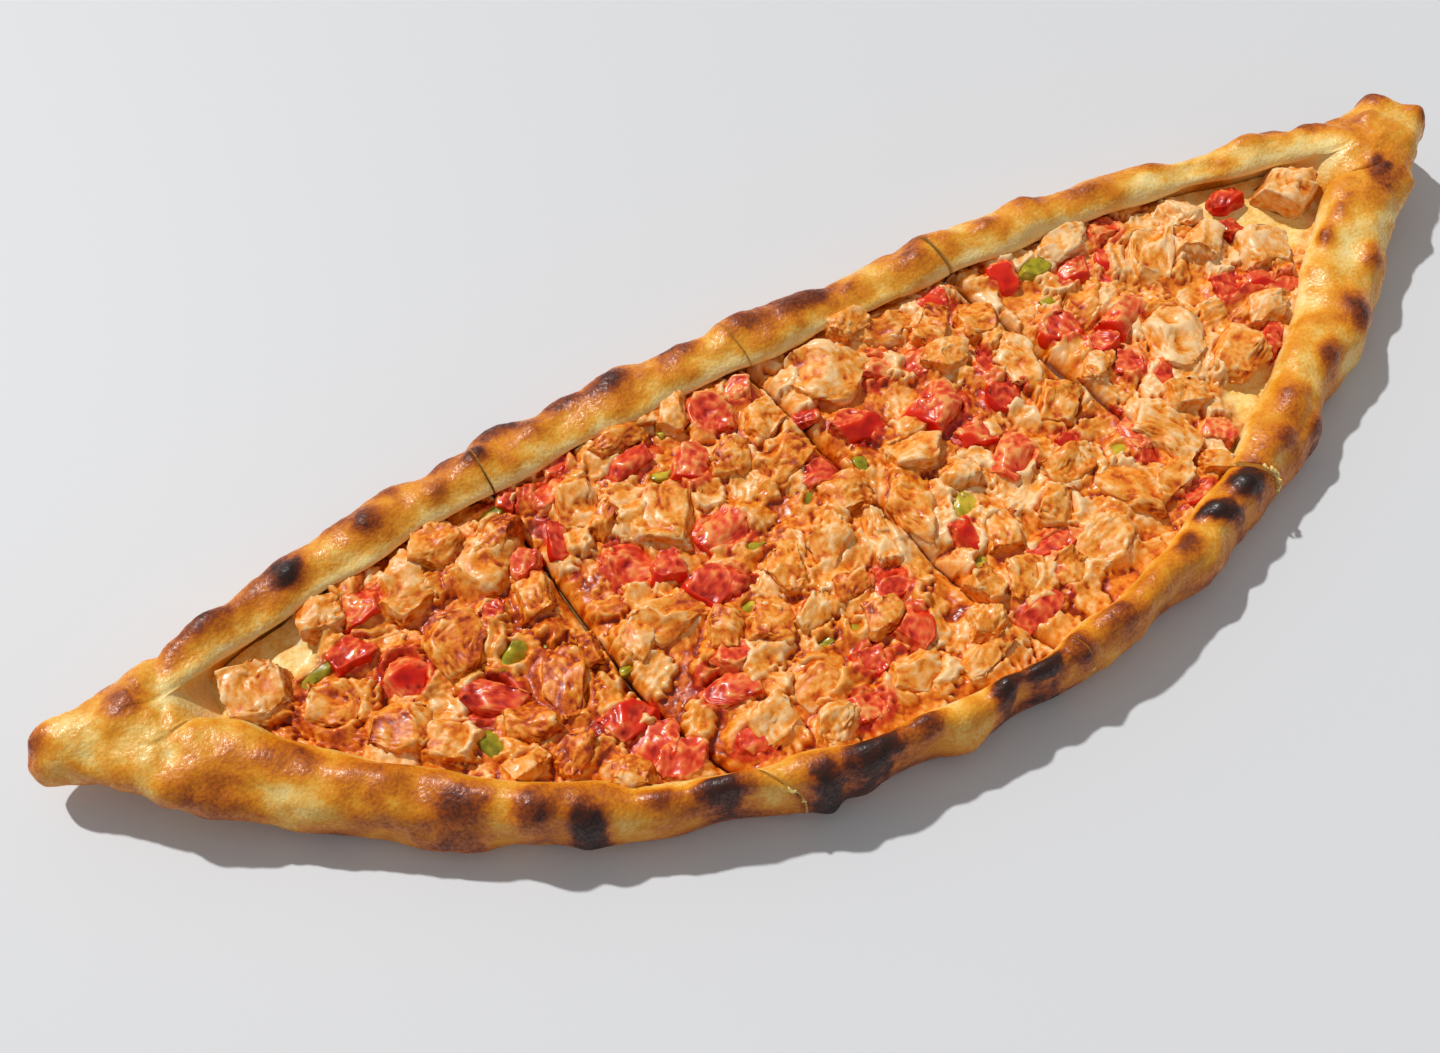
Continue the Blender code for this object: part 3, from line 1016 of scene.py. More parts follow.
# %% Height of the flakes
def flake_field(plan, ragged):
    """Height of the highest flake over each point, and that flake's number."""
    top = np.full(len(plan), BELOW_ALL)
    winner = np.zeros(len(plan), int)
    for number, (x, y, long, wide, turn, tall, rise, lean) in enumerate(FLAKES):
        here = np.flatnonzero((np.abs(plan[:, 0] - x) < 1.3 * long) & (np.abs(plan[:, 1] - y) < 1.3 * long))
        if not len(here):
            continue
        dx, dy = plan[here, 0] - x, plan[here, 1] - y
        u, v = dx * math.cos(turn) + dy * math.sin(turn), dy * math.cos(turn) - dx * math.sin(turn)
        far = (np.abs(u / long) ** 3 + np.abs(v / wide) ** 3) ** (1 / 3) + 0.22 * ragged[here]
        fibre = ridges(np.column_stack([0.3 * u, v, 0 * u]), 2.2, number)
        height = tall + rise * u + lean * v + 0.5 * fibre - 0.7 * far**4 - 7 * np.maximum(0, far - 0.95)
        wins = height > top[here]
        top[here[wins]] = height[wins]
        winner[here[wins]] = number
    return top, winner


def darker_left_and_patches(points):
    """Deeper orange towards the left, and in patches a hand's width across."""
    plan = points * [1, 1, 0]
    return 0.10 * lumps(plan, 38, 33) - 0.10 * np.clip(points[:, 0] / 120, -1, 1)


# %% Nearness to pieces
FARTHEST = 9.0


def piece_nearness(points, places):
    """Distance to the edge of the nearest piece, below 0 inside it."""
    near = np.full(len(points), FARTHEST)
    for x, y, a, b, turn in places:
        c, s = math.cos(math.radians(turn)), math.sin(math.radians(turn))
        dx, dy = points[:, 0] - x, points[:, 1] - y
        share = np.hypot((dx * c + dy * s) / a, (dy * c - dx * s) / b)
        near = np.minimum(near, (share - 1) * min(a, b))
    return near


# %% [markdown]
# ## One slice of the bed
# The bed is a grid too, laid between the rims' inner sides, just under their lips. It slumps a little
# along each cut, rises in a soft skirt against every piece that lies in it, and dips out of sight
# under the piece. In bare patches only a thin sheet of melted cheese is left.

# %% Grid of the bed
BED_LEVEL = 12.0
BED_GRAIN = 0.56
BED_END = 198.0
BED_COLUMNS = 216
UNDER_LIP = 0.86


def bed_grid(number):
    """The grid, with the x and y of its points and the left and right limit at each."""
    span = np.subtract(*slice_limits(number, 0.0, BED_END)[::-1])
    rows = int(span / BED_GRAIN)
    made = bmesh.new()
    bmesh.ops.create_grid(made, x_segments=rows, y_segments=BED_COLUMNS, size=0.5)
    flat = np.array([vert.co for vert in made.verts]) + 0.5
    y = np.zeros(len(flat))
    for _ in range(AGREEING_ROUNDS):
        left, right = slice_limits(number, y, BED_END)
        x = left + (right - left) * flat[:, 0]
        low = near_edge(x) + UNDER_LIP * (near_lip(x) - near_edge(x))
        high = far_edge(x) + UNDER_LIP * (far_lip(x) - far_edge(x))
        y = low + (high - low) * flat[:, 1]
    return made, np.column_stack([x, y, 0 * x]), left, right


def bare_share(plan):
    """1 in the middle of a bare patch of cheese, 0 outside all of them, with ragged edges."""
    bare = np.zeros(len(plan))
    for x, y, radius in BARE_PATCHES:
        far = np.hypot(plan[:, 0] - x, plan[:, 1] - y) / radius + 0.12 * lumps(plan, 4, 24)
        bare = np.maximum(bare, 1 - step(0.6, 1.15, far))
    return bare


# %% Height of the bed
def raise_bed(number, made, plan, left, right, bare):
    """Moves the grid to its height, and returns each point's flake and how far that stands out."""
    x = plan[:, 0]
    warped = plan + 1.1 * np.column_stack([lumps(plan, 4, 21), lumps(plan, 4, 22), 0 * x])
    top, winner = flake_field(warped, lumps(plan, 1.8, 23))
    top -= 5 * bare
    melted = (0.6 * lumps(plan, 10, 28) + 0.35 * lumps(plan, 3.6, 29)) * (1 - 0.6 * bare)
    joined_softly = (top + melted + np.hypot(top - melted, 0.5)) / 2
    z = BED_LEVEL + joined_softly + 0.16 * lumps(plan, 1.3, 30) * (1 - bare)
    skirt = piece_nearness(plan, LARGE + SMALL)
    soft_rise = np.exp(-((np.maximum(skirt - 0.4, 0) / 2.2) ** 2)) * step(-1.5, 0.2, skirt)
    z += 1.7 * soft_rise * (1 - 0.5 * bare)
    z -= 2.0 * (1 - step(-2.6, -0.6, skirt))
    from_cut = np.minimum(x - left if number > 0 else 99, right - x if number < 3 else 99)
    z -= 3.6 * np.exp(-from_cut / 1.4) + 2.2 * step(0.93, 1.0, np.abs(x) / BED_END) + 1.6 * bare
    z = np.maximum(z + 0.8 * lift(x), floor_height(x) + lift(x) + 0.5)
    move_points(made, np.column_stack([x, plan[:, 1], z]))
    return winner, top - melted


# %% [markdown]
# ## Tones of the bed
# Three numbers at each point tell the material what lies there: tomato pulp near pieces of tomato, bare
# cheese, and how deep the orange is. Each flake has its own tone. The orange is deeper in the hollows
# between flakes and paler on their crests, partly for sauce and partly as painted light and shade.


# %% Tones of the bed
def tone_bed(made, plan, bare, winner, proud):
    tone = FLAKE_TONES[winner]
    on_flake = step(-0.3, 0.6, proud)
    red_near = 1 - step(0.0, 5.0, piece_nearness(plan, TOMATO_PLACES))
    pulp = step(0.40, 0.48, tone * red_near + 0.25 * step(0.93, 0.95, tone)) * (1 - bare)
    sauce_and_shading = 0.62 + 0.36 * (tone - 0.7) * on_flake + 0.16 * lumps(plan, 6, 31) + 0.16 * lumps(plan, 2.2, 32)
    # Deeper orange in hollows and off the flake tops, paler on crests: partly sauce, partly painted light and
    # shade.
    sauce_and_shading += 0.6 * np.clip(hollows(made, 8), -0.5, 0.8) - 0.08 * on_flake
    sauce_and_shading += darker_left_and_patches(plan)
    write_layer(made, "pulp", pulp)
    write_layer(made, "cheese", bare)
    write_layer(made, "sauce_and_shading", np.clip(sauce_and_shading, 0, 1))


# %% Closing the bed
def close_bed(made):
    """Pulls the edge down to the floor and closes the bed underneath."""
    rim = [edge for edge in made.edges if edge.is_boundary]
    grown = bmesh.ops.extrude_edge_only(made, edges=rim)["geom"]
    for vert in (item for item in grown if isinstance(item, bmesh.types.BMVert)):
        x_here = vert.co.x / MM
        vert.co.z = (float(floor_height(x_here) + lift(x_here)) + 0.3) * MM
    low_rim = [edge for edge in made.edges if edge.is_boundary]
    under = bmesh.ops.holes_fill(made, edges=low_rim, sides=0)["faces"]
    bmesh.ops.triangulate(made, faces=under)
    bmesh.ops.recalc_face_normals(made, faces=made.faces)


def bed_slice(number):
    made, plan, left, right = bed_grid(number)
    bare = bare_share(plan)
    winner, proud = raise_bed(number, made, plan, left, right, bare)
    tone_bed(made, plan, bare, winner, proud)
    close_bed(made)
    return made


# %% [markdown]
# ## Sauce and melted cheese
# Chicken, cheese and tomato butter share one run of colours, from cream where a torn face is clean to
# deep orange in a groove, partly oil with paprika gathered there and partly painted shade. Bare melted
# cheese stays pale yellow and pulp is pink-red. Patches of oil are about 5 mm wide and flecks of spice a
# little over 1 mm. The surface is wet, so the bump is faint and the gloss is soft and uneven.

# %% Sauce colours
SAUCE_STOPS = [
    (0.08, "#F7CB92"),
    (0.26, "#F3B166"),
    (0.44, "#EF9A34"),
    (0.60, "#E47C14"),
    (0.78, "#C85208"),
    (0.96, "#8E2C04"),
]
PULP_STOPS = [(0.15, "#F29A50"), (0.36, "#E86A2C"), (0.58, "#D43C14"), (0.85, "#981C06")]
CHEESE_STOPS = [(0.25, "#FCEAAE"), (0.46, "#F7D884"), (0.60, "#F0C05C"), (0.80, "#E49A32")]
print("colours of sauce, pulp and cheese:", len(SAUCE_STOPS), len(PULP_STOPS), len(CHEESE_STOPS))

# %% Sauce material
sauce, tree, shader = new_material("tomato and cheese sauce")
place = add(tree, "ShaderNodeTexCoord").outputs["Object"]
pulp_here = add(tree, "ShaderNodeAttribute", {"attribute_name": "pulp"}).outputs["Fac"]
cheese_here = add(tree, "ShaderNodeAttribute", {"attribute_name": "cheese"}).outputs["Fac"]
sauce_and_shading_here = add(tree, "ShaderNodeAttribute", {"attribute_name": "sauce_and_shading"}).outputs["Fac"]
patch = add(tree, "ShaderNodeTexNoise", Vector=place, Scale=spots(5.263), Detail=4.0, Roughness=0.6)
fleck = add(tree, "ShaderNodeTexNoise", Vector=place, Scale=spots(1.25), Detail=3.0, Roughness=0.6)
flecked = add(tree, "ShaderNodeMath", TIMES_PLUS, _0=fleck.outputs["Fac"], _1=0.6, _2=-0.30)
level = add(tree, "ShaderNodeMath", _0=sauce_and_shading_here, _1=flecked.outputs[0])
spread = add(tree, "ShaderNodeMath", _0=patch.outputs["Fac"], _1=flecked.outputs[0])
orange = add(tree, "ShaderNodeValToRGB", stops=SAUCE_STOPS, Fac=level.outputs[0]).outputs["Color"]
pulpy = add(tree, "ShaderNodeValToRGB", stops=PULP_STOPS, Fac=level.outputs[0]).outputs["Color"]
cheesy = add(tree, "ShaderNodeValToRGB", stops=CHEESE_STOPS, Fac=spread.outputs[0]).outputs["Color"]
with_pulp = add(tree, "ShaderNodeMix", {"data_type": "RGBA"}, _0=pulp_here, _6=orange, _7=pulpy).outputs[2]
look = add(tree, "ShaderNodeMix", {"data_type": "RGBA"}, _0=cheese_here, _6=with_pulp, _7=cheesy).outputs[2]
tree.links.new(look, shader.inputs["Base Color"])
print("made the colours of", sauce.name)

# %% Wetness of the sauce
bump = add(tree, "ShaderNodeBump", Height=fleck.outputs["Fac"], Strength=0.2, Distance=0.0006)
gloss = add(tree, "ShaderNodeMapRange", Value=patch.outputs["Fac"])
gloss.inputs["From Min"].default_value = 0.35
gloss.inputs["From Max"].default_value = 0.65
gloss.inputs["To Min"].default_value = 0.22
gloss.inputs["To Max"].default_value = 0.5
tree.links.new(gloss.outputs["Result"], shader.inputs["Roughness"])
tree.links.new(bump.outputs["Normal"], shader.inputs["Normal"])
shader.inputs["IOR"].default_value = 1.42
shader.inputs["Subsurface Weight"].default_value = 0.12
shader.inputs["Subsurface Scale"].default_value = 0.0015
print(sauce.name, "is made of", len(tree.nodes), "nodes")

# %% The four beds
for number in range(4):
    made = bed_slice(number)
    count = sum(len(face.verts) - 2 for face in made.faces)
    finish_piece(f"bed_{number + 1}", made, sauce, [f"filling_slice_{number + 1}"])
    print(f"bed_{number + 1}: {count} triangles")

# %% [markdown]
# ## Diced pieces
# Chicken breast and tomato were cut with a knife, so each piece has a few flat faces that meet at
# worn edges. A rounded block is cut by planes: whatever stands past a plane is pressed back onto it.
# Then meat is torn along its fibres, which run one way in bundles about 2 mm thick.


# %% Knife-cut faces
def knife_faces(points, chooser, sides, depth):
    """Presses the points back onto a few planes round the piece and over its top."""
    middle = (points.min(0) + points.max(0)) / 2
    local = points - middle
    first = chooser.uniform(0, 360)
    turns = [first + 360 * k / sides + chooser.uniform(-18, 18) for k in range(sides)]
    tilts = [chooser.uniform(-5, 32) for _ in turns]
    faces = list(zip(turns, tilts)) + [(chooser.uniform(0, 360), chooser.uniform(62, 86))]
    for turn, tilt in faces:
        flat = math.cos(math.radians(tilt))
        normal = np.array([
            flat * math.cos(math.radians(turn)),
            flat * math.sin(math.radians(turn)),
            math.sin(math.radians(tilt)),
        ])
        reach = local @ normal
        past = np.maximum(0, reach - reach.max() * chooser.uniform(*depth))
        local = local - past[:, None] * normal
    return local + middle


# %% Uneven and torn
def bend_out_of_shape(points, amount, seed):
    """Slow unevenness in all three directions, so that no two pieces are alike."""
    return points + amount * np.column_stack([lumps(points, 9, seed + k) for k in (0.3, 0.6, 0.9)])


LONG_CELLS = 0.68
CRACK_WIDTH = 0.45


def fibres(points, grain, size, seed):
    """0 in the cracks between bundles of fibres that run along grain, to 1 on their backs."""
    warped = points + 0.8 * np.column_stack([lumps(points, 4, seed + k) for k in (0.1, 0.2, 0.3)])
    thin = (warped - LONG_CELLS * (warped @ grain)[:, None] * grain) / size + seed
    gaps = [noise.voronoi(Vector(point))[0] for point in thin]
    return np.minimum(1, np.array([gap[1] - gap[0] for gap in gaps]) / CRACK_WIDTH)


# %% [markdown]
# ## Surfaces of the pieces
# Each kind has its own way of being rough. Meat tears along its fibres, tomato flesh is lumpy with one
# side of taut skin, and pepper stays smooth.

# %% Meat
FIBRE_BUNDLE = 1.7


def meat_surface(made, chooser):
    """Torn along fibres; cream on top, deeper orange in cracks and low down, from sauce and painted shade."""
    points, normals = read_points(made), read_normals(made)
    turn, dip, seed = chooser.uniform(0, math.pi), chooser.uniform(-0.5, 0.5), chooser.uniform(0, 50)
    grain = np.array([math.cos(turn) * math.cos(dip), math.sin(turn) * math.cos(dip), math.sin(dip)])
    torn = step(-0.5, 0.6, lumps(points, 6, seed + 4))
    push = 0.5 * lumps(points, 6, seed) + 0.9 * torn * (fibres(points, grain, FIBRE_BUNDLE, seed) - 0.7)
    push += 0.24 * lumps(points, 1.5, seed + 2)
    move_points(made, points + normals * push[:, None])
    height = (points[:, 2] - points[:, 2].min()) / np.ptp(points[:, 2])
    sauce_and_shading = 0.33 + 0.26 * chooser.random() + 0.20 * lumps(points, 5, seed + 3)
    # Deeper orange low on the piece and in its hollows, paler on its crests: partly sauce, partly painted
    # light and shade.
    sauce_and_shading += 0.18 * lumps(points, 1.8, seed + 5) + 0.15 * (1 - height)
    sauce_and_shading += 0.68 * np.clip(hollows(made, 5), -0.4, 0.8)
    sauce_and_shading += darker_left_and_patches(points) - 0.14 * step(165, 178, np.abs(points[:, 0]))
    write_layer(made, "sauce_and_shading", np.clip(sauce_and_shading, 0, 1))


# %% Tomato
SKINLESS_SHARE = 0.35


def tomato_surface(made, chooser):
    """Soft flesh, with one side of taut bright skin on most pieces."""
    points, normals = read_points(made), read_normals(made)
    seed = chooser.uniform(0, 50)
    turn = math.radians(chooser.uniform(180, 340))
    toward = np.array([math.cos(turn) * 0.96, math.sin(turn) * 0.96, 0.26])
    skin_share = step(0.46, 0.58, normals @ toward + 0.07 * lumps(points, 3, seed + 4))
    if chooser.random() < SKINLESS_SHARE:
        skin_share = skin_share * 0
    rough = 1 - 0.9 * skin_share
    push = 0.5 * lumps(points, 6, seed) + rough * (0.5 * ridges(points, 3.2, seed + 1) - 0.3)
    push += rough * 0.20 * lumps(points, 1.3, seed + 2) + 0.55 * skin_share
    move_points(made, points + normals * push[:, None])
    write_layer(made, "skin", skin_share)
    juice_and_shading = 0.46 + 0.25 * (chooser.random() - 0.5) + 0.18 * lumps(points, 3, seed + 5)
    # The flesh is darker red in hollows and paler on crests: painted light and shade.
    write_layer(made, "juice_and_shading", np.clip(juice_and_shading + 0.9 * np.clip(hollows(made, 5), -0.4, 0.8), 0, 1))


# %% Pepper
def pepper_surface(made, chooser):
    """A smooth wet strip, bent a little."""
    points, normals = read_points(made), read_normals(made)
    seed = chooser.uniform(0, 50)
    push = 0.35 * lumps(points, 4, seed) + 0.1 * lumps(points, 1.5, seed + 1)
    move_points(made, points + normals * push[:, None])
    write_layer(made, "tint", np.full(len(points), chooser.random()))


# %% [markdown]
# ## Larger and smaller pieces
# A larger piece is a finer copy of its own plain solid, welded first, because a solid's triangles come
# loose. It is grown a little, as the knife then takes some away. A smaller piece starts as a cube that
# is half rounded, tipped a little, and sunk into the bed.

# %% Larger piece
PIECE_GROWTH = np.array([1.52, 1.52, 1.18])


def solid_copy(name):
    """A plain solid's shape, welded and made finer."""
    made = bmesh.new()
    made.from_mesh(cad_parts[name].data)
    bmesh.ops.remove_doubles(made, verts=made.verts, dist=0.01 * MM)
    bmesh.ops.subdivide_edges(made, edges=made.edges, cuts=6, use_grid_fill=True)
    made.verts.index_update()
    points = settle(made, read_points(made), 0.5, 8)
    middle = (points.min(0) + points.max(0)) / 2
    move_points(made, middle + (points - middle) * PIECE_GROWTH)
    return made


# %% Smaller piece
MOST_TIPPED = 16
SUNK = 2.5


def loose_bit(x, y, length, width, turn, tall, chooser, cuts):
    """A rounded block of its own, tipped a little, on the bed."""
    made = bmesh.new()
    bmesh.ops.create_cube(made, size=2 * MM)
    bmesh.ops.subdivide_edges(made, edges=made.edges, cuts=cuts, use_grid_fill=True)
    block = read_points(made)
    ball = block / np.linalg.norm(block, axis=1)[:, None]
    points = (0.42 * block + 0.62 * ball) * np.array([length, width, tall]) / 2
    spin = Matrix.Rotation(math.radians(turn), 3, "Z")
    tip = Matrix.Rotation(math.radians(chooser.uniform(-MOST_TIPPED, MOST_TIPPED)), 3, "X")
    roll = Matrix.Rotation(math.radians(chooser.uniform(-MOST_TIPPED, MOST_TIPPED)), 3, "Y")
    points = points @ np.array(spin @ tip @ roll).T
    points += np.array([x, y, BED_LEVEL - SUNK + 0.8 * float(lift(x)) + tall / 2])
    move_points(made, points)
    return made


# %% [markdown]
# ## Fried chicken breast
# White meat fried with paprika is cream where the knife opened it and orange where it lay in the sauce,
# and darker still in its cracks and low down, partly as painted shade, so it shares the sauce's run of
# colours. Its wrinkles are about 3 mm apart, and the finest spice specks about 1 mm. Oil makes it shine
# in patches about 4 mm wide.

# %% Chicken material
chicken, tree, shader = new_material("fried chicken breast")
place = add(tree, "ShaderNodeTexCoord").outputs["Object"]
sauce_and_shading_here = add(tree, "ShaderNodeAttribute", {"attribute_name": "sauce_and_shading"}).outputs["Fac"]
patch = add(tree, "ShaderNodeTexNoise", Vector=place, Scale=spots(3.846), Detail=4.0, Roughness=0.65)
speck = add(tree, "ShaderNodeTexNoise", Vector=place, Scale=spots(1.0), Detail=3.0, Roughness=0.6)
wrinkle = add(tree, "ShaderNodeTexNoise", {"noise_type": "RIDGED_MULTIFRACTAL"}, Vector=place, Detail=3.0)
wrinkle.inputs["Scale"].default_value = spots(3.03)
specked = add(tree, "ShaderNodeMath", TIMES_PLUS, _0=speck.outputs["Fac"], _1=0.6, _2=-0.30)
level = add(tree, "ShaderNodeMath", _0=sauce_and_shading_here, _1=specked.outputs[0])
meat = add(tree, "ShaderNodeValToRGB", stops=SAUCE_STOPS, Fac=level.outputs[0]).outputs["Color"]
bump = add(tree, "ShaderNodeBump", Height=wrinkle.outputs["Fac"], Strength=0.35, Distance=0.0008)
gloss = add(tree, "ShaderNodeMapRange", Value=patch.outputs["Fac"])
gloss.inputs["From Min"].default_value = 0.35
gloss.inputs["From Max"].default_value = 0.65
gloss.inputs["To Min"].default_value = 0.26
gloss.inputs["To Max"].default_value = 0.55
tree.links.new(meat, shader.inputs["Base Color"])
tree.links.new(gloss.outputs["Result"], shader.inputs["Roughness"])
tree.links.new(bump.outputs["Normal"], shader.inputs["Normal"])
shader.inputs["IOR"].default_value = 1.42
shader.inputs["Subsurface Weight"].default_value = 0.12
shader.inputs["Subsurface Scale"].default_value = 0.0015
print(chicken.name, "is made of", len(tree.nodes), "nodes")

# %% [markdown]
# ## Cooked tomato
# Cooked tomato keeps a saturated red skin over salmon-pink flesh, which is stained in spots about 2.5 mm
# wide. It is the wettest of the toppings, so it has the sharpest highlights.

# %% Tomato material
FLESH_STOPS = [(0.12, "#F5A058"), (0.32, "#EC6C36"), (0.54, "#DC3E20"), (0.80, "#A41A0A")]
SKIN_STOPS = [(0.20, "#E83008"), (0.50, "#D61604"), (0.85, "#9A0A02")]
tomato, tree, shader = new_material("cooked tomato")
place = add(tree, "ShaderNodeTexCoord").outputs["Object"]
skin_here = add(tree, "ShaderNodeAttribute", {"attribute_name": "skin"}).outputs["Fac"]
juice_and_shading_here = add(tree, "ShaderNodeAttribute", {"attribute_name": "juice_and_shading"}).outputs["Fac"]
stain = add(tree, "ShaderNodeTexNoise", Vector=place, Scale=spots(2.5), Detail=4.0, Roughness=0.6)
stained = add(tree, "ShaderNodeMath", TIMES_PLUS, _0=stain.outputs["Fac"], _1=0.5, _2=-0.25)
level = add(tree, "ShaderNodeMath", _0=juice_and_shading_here, _1=stained.outputs[0])
flesh = add(tree, "ShaderNodeValToRGB", stops=FLESH_STOPS, Fac=level.outputs[0]).outputs["Color"]
red = add(tree, "ShaderNodeValToRGB", stops=SKIN_STOPS, Fac=level.outputs[0]).outputs["Color"]
look = add(tree, "ShaderNodeMix", {"data_type": "RGBA"}, _0=skin_here, _6=flesh, _7=red).outputs[2]
bump = add(tree, "ShaderNodeBump", Height=stain.outputs["Fac"], Strength=0.12, Distance=0.0006)
gloss = add(tree, "ShaderNodeMapRange", Value=stain.outputs["Fac"])
gloss.inputs["From Min"].default_value = 0.35
gloss.inputs["From Max"].default_value = 0.65
gloss.inputs["To Min"].default_value = 0.16
gloss.inputs["To Max"].default_value = 0.42
tree.links.new(look, shader.inputs["Base Color"])
tree.links.new(gloss.outputs["Result"], shader.inputs["Roughness"])
tree.links.new(bump.outputs["Normal"], shader.inputs["Normal"])
shader.inputs["IOR"].default_value = 1.4
shader.inputs["Subsurface Weight"].default_value = 0.12
shader.inputs["Subsurface Scale"].default_value = 0.0015
print(tomato.name, "is made of", len(tree.nodes), "nodes")

# %% [markdown]
# ## Baked green pepper
# Green pepper turns yellow-green in the oven, unevenly, in spots about 3 mm wide. Its waxy skin stays
# smooth, so it has one even gloss.

# %% Pepper material
PEPPER_STOPS = [(0.35, "#D8B838"), (0.58, "#AA9A1C"), (0.85, "#706A10")]
pepper, tree, shader = new_material("baked green pepper")
place = add(tree, "ShaderNodeTexCoord").outputs["Object"]
tint_here = add(tree, "ShaderNodeAttribute", {"attribute_name": "tint"}).outputs["Fac"]
stain = add(tree, "ShaderNodeTexNoise", Vector=place, Scale=spots(3.333), Detail=3.0)
level = add(tree, "ShaderNodeMath", TIMES_PLUS, _0=tint_here, _1=0.2, _2=stain.outputs["Fac"])
green = add(tree, "ShaderNodeValToRGB", stops=PEPPER_STOPS, Fac=level.outputs[0]).outputs["Color"]
tree.links.new(green, shader.inputs["Base Color"])
shader.inputs["Roughness"].default_value = 0.25
shader.inputs["IOR"].default_value = 1.4
shader.inputs["Subsurface Weight"].default_value = 0.12
shader.inputs["Subsurface Scale"].default_value = 0.002
print(pepper.name, "is made of", len(tree.nodes), "nodes")

# %% [markdown]
# ## Placing the pieces
# A larger piece is cut from a finer copy of its own plain solid, so it stays where the solid is. The
# smaller ones of a kind are joined into one mesh.

# %% Kinds of piece
# For each kind: its surface, material and slot, how many sides the knife gave it, how deep they cut,
# its smaller pieces with their height, and how finely their cubes are divided.
KINDS = {
    "chicken": (meat_surface, chicken, "chicken", 4, (0.60, 0.84), CHICKEN_BITS, 9.0, 17),
    "tomato": (tomato_surface, tomato, "tomato", 4, (0.60, 0.86), TOMATO_BITS, 7.5, 17),
    "pepper": (pepper_surface, pepper, "green_pepper", 4, (0.6, 0.85), PEPPER_BITS, 6.0, 10),
}
print(len(KINDS), "kinds of piece")


# %% Cutting a piece
def cut_piece(made, surface, sides, depth, bend, chooser):
    """Bends a block, gives it its knife faces, and then its kind's surface."""
    bent = bend_out_of_shape(read_points(made), bend, chooser.uniform(0, 50))
    move_points(made, knife_faces(bent, chooser, sides, depth))
    surface(made, chooser)


def join_into(joined, made):
    """Adds a finished piece to the mesh that holds all smaller ones of its kind."""
    part_mesh = bpy.data.meshes.new("bit")
    made.to_mesh(part_mesh)
    made.free()
    joined.from_mesh(part_mesh)
    bpy.data.meshes.remove(part_mesh)


# %% All pieces
for kind, (surface, finish, slot, sides, depth, bits, tall, cuts) in KINDS.items():
    chooser = random.Random(kind)
    nodes = sorted(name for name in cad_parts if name.startswith(kind))
    for name in nodes:
        made = solid_copy(name)
        cut_piece(made, surface, sides, depth, 2.2, chooser)
        finish_piece(f"{name}_diced", made, finish, [name])
    joined = bmesh.new()
    for x, y, length, width, turn in bits:
        height = tall * chooser.uniform(0.85, 1.15) * (0.8 if min(length, width) < 7 else 1.0)
        longer, wider = chooser.uniform(1.2, 1.65), chooser.uniform(1.1, 1.4)
        made = loose_bit(x, y, length * longer, width * wider, turn, height, chooser, cuts)
        cut_piece(made, surface, sides, depth, 1.4, chooser)
        join_into(joined, made)
    count = sum(len(face.verts) - 2 for face in joined.faces)
    print(f"{kind}: {len(nodes)} larger pieces, {len(bits)} smaller ones of {count} triangles together")
    finish_piece(f"{kind}_bits", joined, finish)

# %% [markdown]
# ## Torn crumbs at the cuts
# Where the knife dragged through the near rim, its soft inside shows as small torn crumbs. Each is a
# little ball, pulled out of round, and they sit in a row along the top of the cut.

# %% Crumbs
CRUMBS_PER_CUT = 11
chooser = random.Random(5)
joined = bmesh.new()
for cut in CUTS:
    for _ in range(CRUMBS_PER_CUT):
        along, y = np.array(chooser.uniform(0.24, 0.42)), -60.0
        aside = chooser.uniform(-0.4, 0.4)
        for _ in range(24):
            x = np.array(cut_side(cut, y, 0) + aside)
            there, z = boat_section(x, np.array(0), along)
            y = (y + there) / 2
        size = chooser.uniform(0.4, 1.0)
        across, lengthways = chooser.uniform(0.5, 0.9), chooser.uniform(0.8, 1.7)
        shape = Matrix.Diagonal((across, lengthways, chooser.uniform(0.5, 1.0), 1))
        spin = Matrix.Rotation(chooser.uniform(-0.6, 0.6), 4, "Z")
        lay = Matrix.Translation(Vector((x, y, z)) * MM) @ spin @ shape @ Matrix.Scale(size * MM, 4)
        bmesh.ops.create_icosphere(joined, subdivisions=3, radius=1.0, matrix=lay)
points, normals = read_points(joined), read_normals(joined)
push = 0.45 * lumps(points, 1.6, 40) + 0.2 * lumps(points, 0.7, 41)
move_points(joined, points + normals * push[:, None])
write_layer(joined, "baked", np.clip(0.04 + 0.06 * lumps(points, 3, 42), 0, 1))
print(f"crumbs: {len(joined.faces)} triangles")
finish_piece("torn_crumbs", joined, dough)

# %% [markdown]
# ## Table
# A pale laminate table, which is matt, so it takes a clear shadow and no reflections. It reaches far
# beyond the food and lies a fifth of a millimetre below it, so that the two never share a surface.

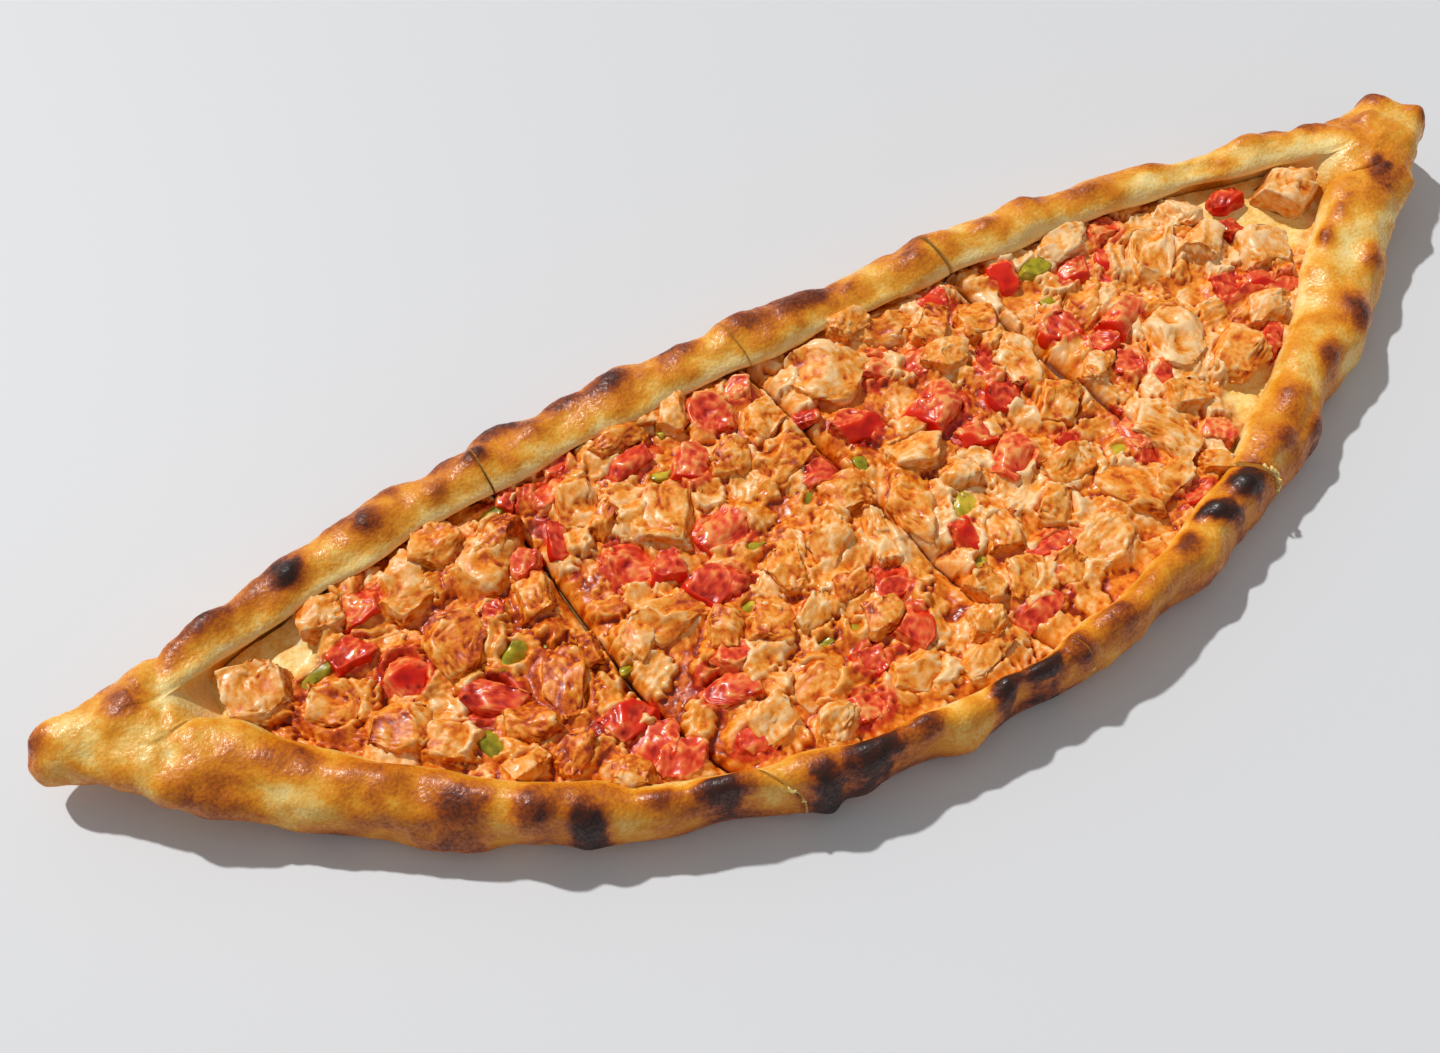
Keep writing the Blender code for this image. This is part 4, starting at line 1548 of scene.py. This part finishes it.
# %% Table
TABLE_REACH = 20.0
TABLE_DROP = 0.0002
table_bmesh = bmesh.new()
bmesh.ops.create_grid(table_bmesh, x_segments=1, y_segments=1, size=TABLE_REACH)
table_mesh = bpy.data.meshes.new("table")
table_bmesh.to_mesh(table_mesh)
table_bmesh.free()
table = bpy.data.objects.new("table", table_mesh)
bpy.context.scene.collection.objects.link(table)
table.location.z = -TABLE_DROP
laminate, tree, shader = new_material("pale laminate table")
shader.inputs["Base Color"].default_value = colour("#D9DADC")
shader.inputs["Roughness"].default_value = 0.6
table_mesh.materials.append(laminate)
print("the table reaches", TABLE_REACH, "m to each side")

# %% [markdown]
# ## Light
# A white key light comes from behind on the left, about 50 degrees up, as from a high window. It is two
# degrees wide, so its shadows are clear but soft at the edge. Plain white surroundings fill them.

# %% Light
KEY_FROM = Vector((-0.27, 0.96, 1.19))
key = bpy.data.lights.new("key", "SUN")
key.energy = 2.75
key.angle = math.radians(2)
key_lamp = bpy.data.objects.new("key", key)
key_lamp.rotation_euler = KEY_FROM.to_track_quat("Z", "Y").to_euler()
bpy.context.scene.collection.objects.link(key_lamp)
world = bpy.data.worlds.new("soft white surroundings")
world.use_nodes = True
world.node_tree.nodes["Background"].inputs["Color"].default_value = (1, 1, 1, 1)
world.node_tree.nodes["Background"].inputs["Strength"].default_value = 0.34
bpy.context.scene.world = world
print("key light", key.energy, "and surroundings 0.34")

# %% [markdown]
# ## Camera
# The camera looks down at 60 degrees from the near side, turned so that one nose is near and the other
# far. It stands less than half a metre away, so the near rim looks clearly larger than the far one.

# %% Camera
AIM = Vector((-0.0421, 0.0207, 0.0))
CAMERA_ANGLE = math.radians(60.14)
CAMERA_TURN = math.radians(29.1)
CAMERA_AWAY = 0.4675
back = Vector((
    -math.sin(CAMERA_TURN) * math.cos(CAMERA_ANGLE),
    -math.cos(CAMERA_TURN) * math.cos(CAMERA_ANGLE),
    math.sin(CAMERA_ANGLE),
))
camera = bpy.data.objects.new("camera", bpy.data.cameras.new("camera"))
camera.data.lens = 37.5
camera.data.sensor_width = 36.0
camera.data.clip_start = 0.01
camera.location = AIM + CAMERA_AWAY * back
camera.rotation_euler = (-back).to_track_quat("-Z", "Y").to_euler()
bpy.context.scene.collection.objects.link(camera)
bpy.context.scene.camera = camera
bpy.context.scene.view_settings.view_transform = "Standard"
print("the camera stands", round(camera.location.length, 3), "m from the middle of the boat")
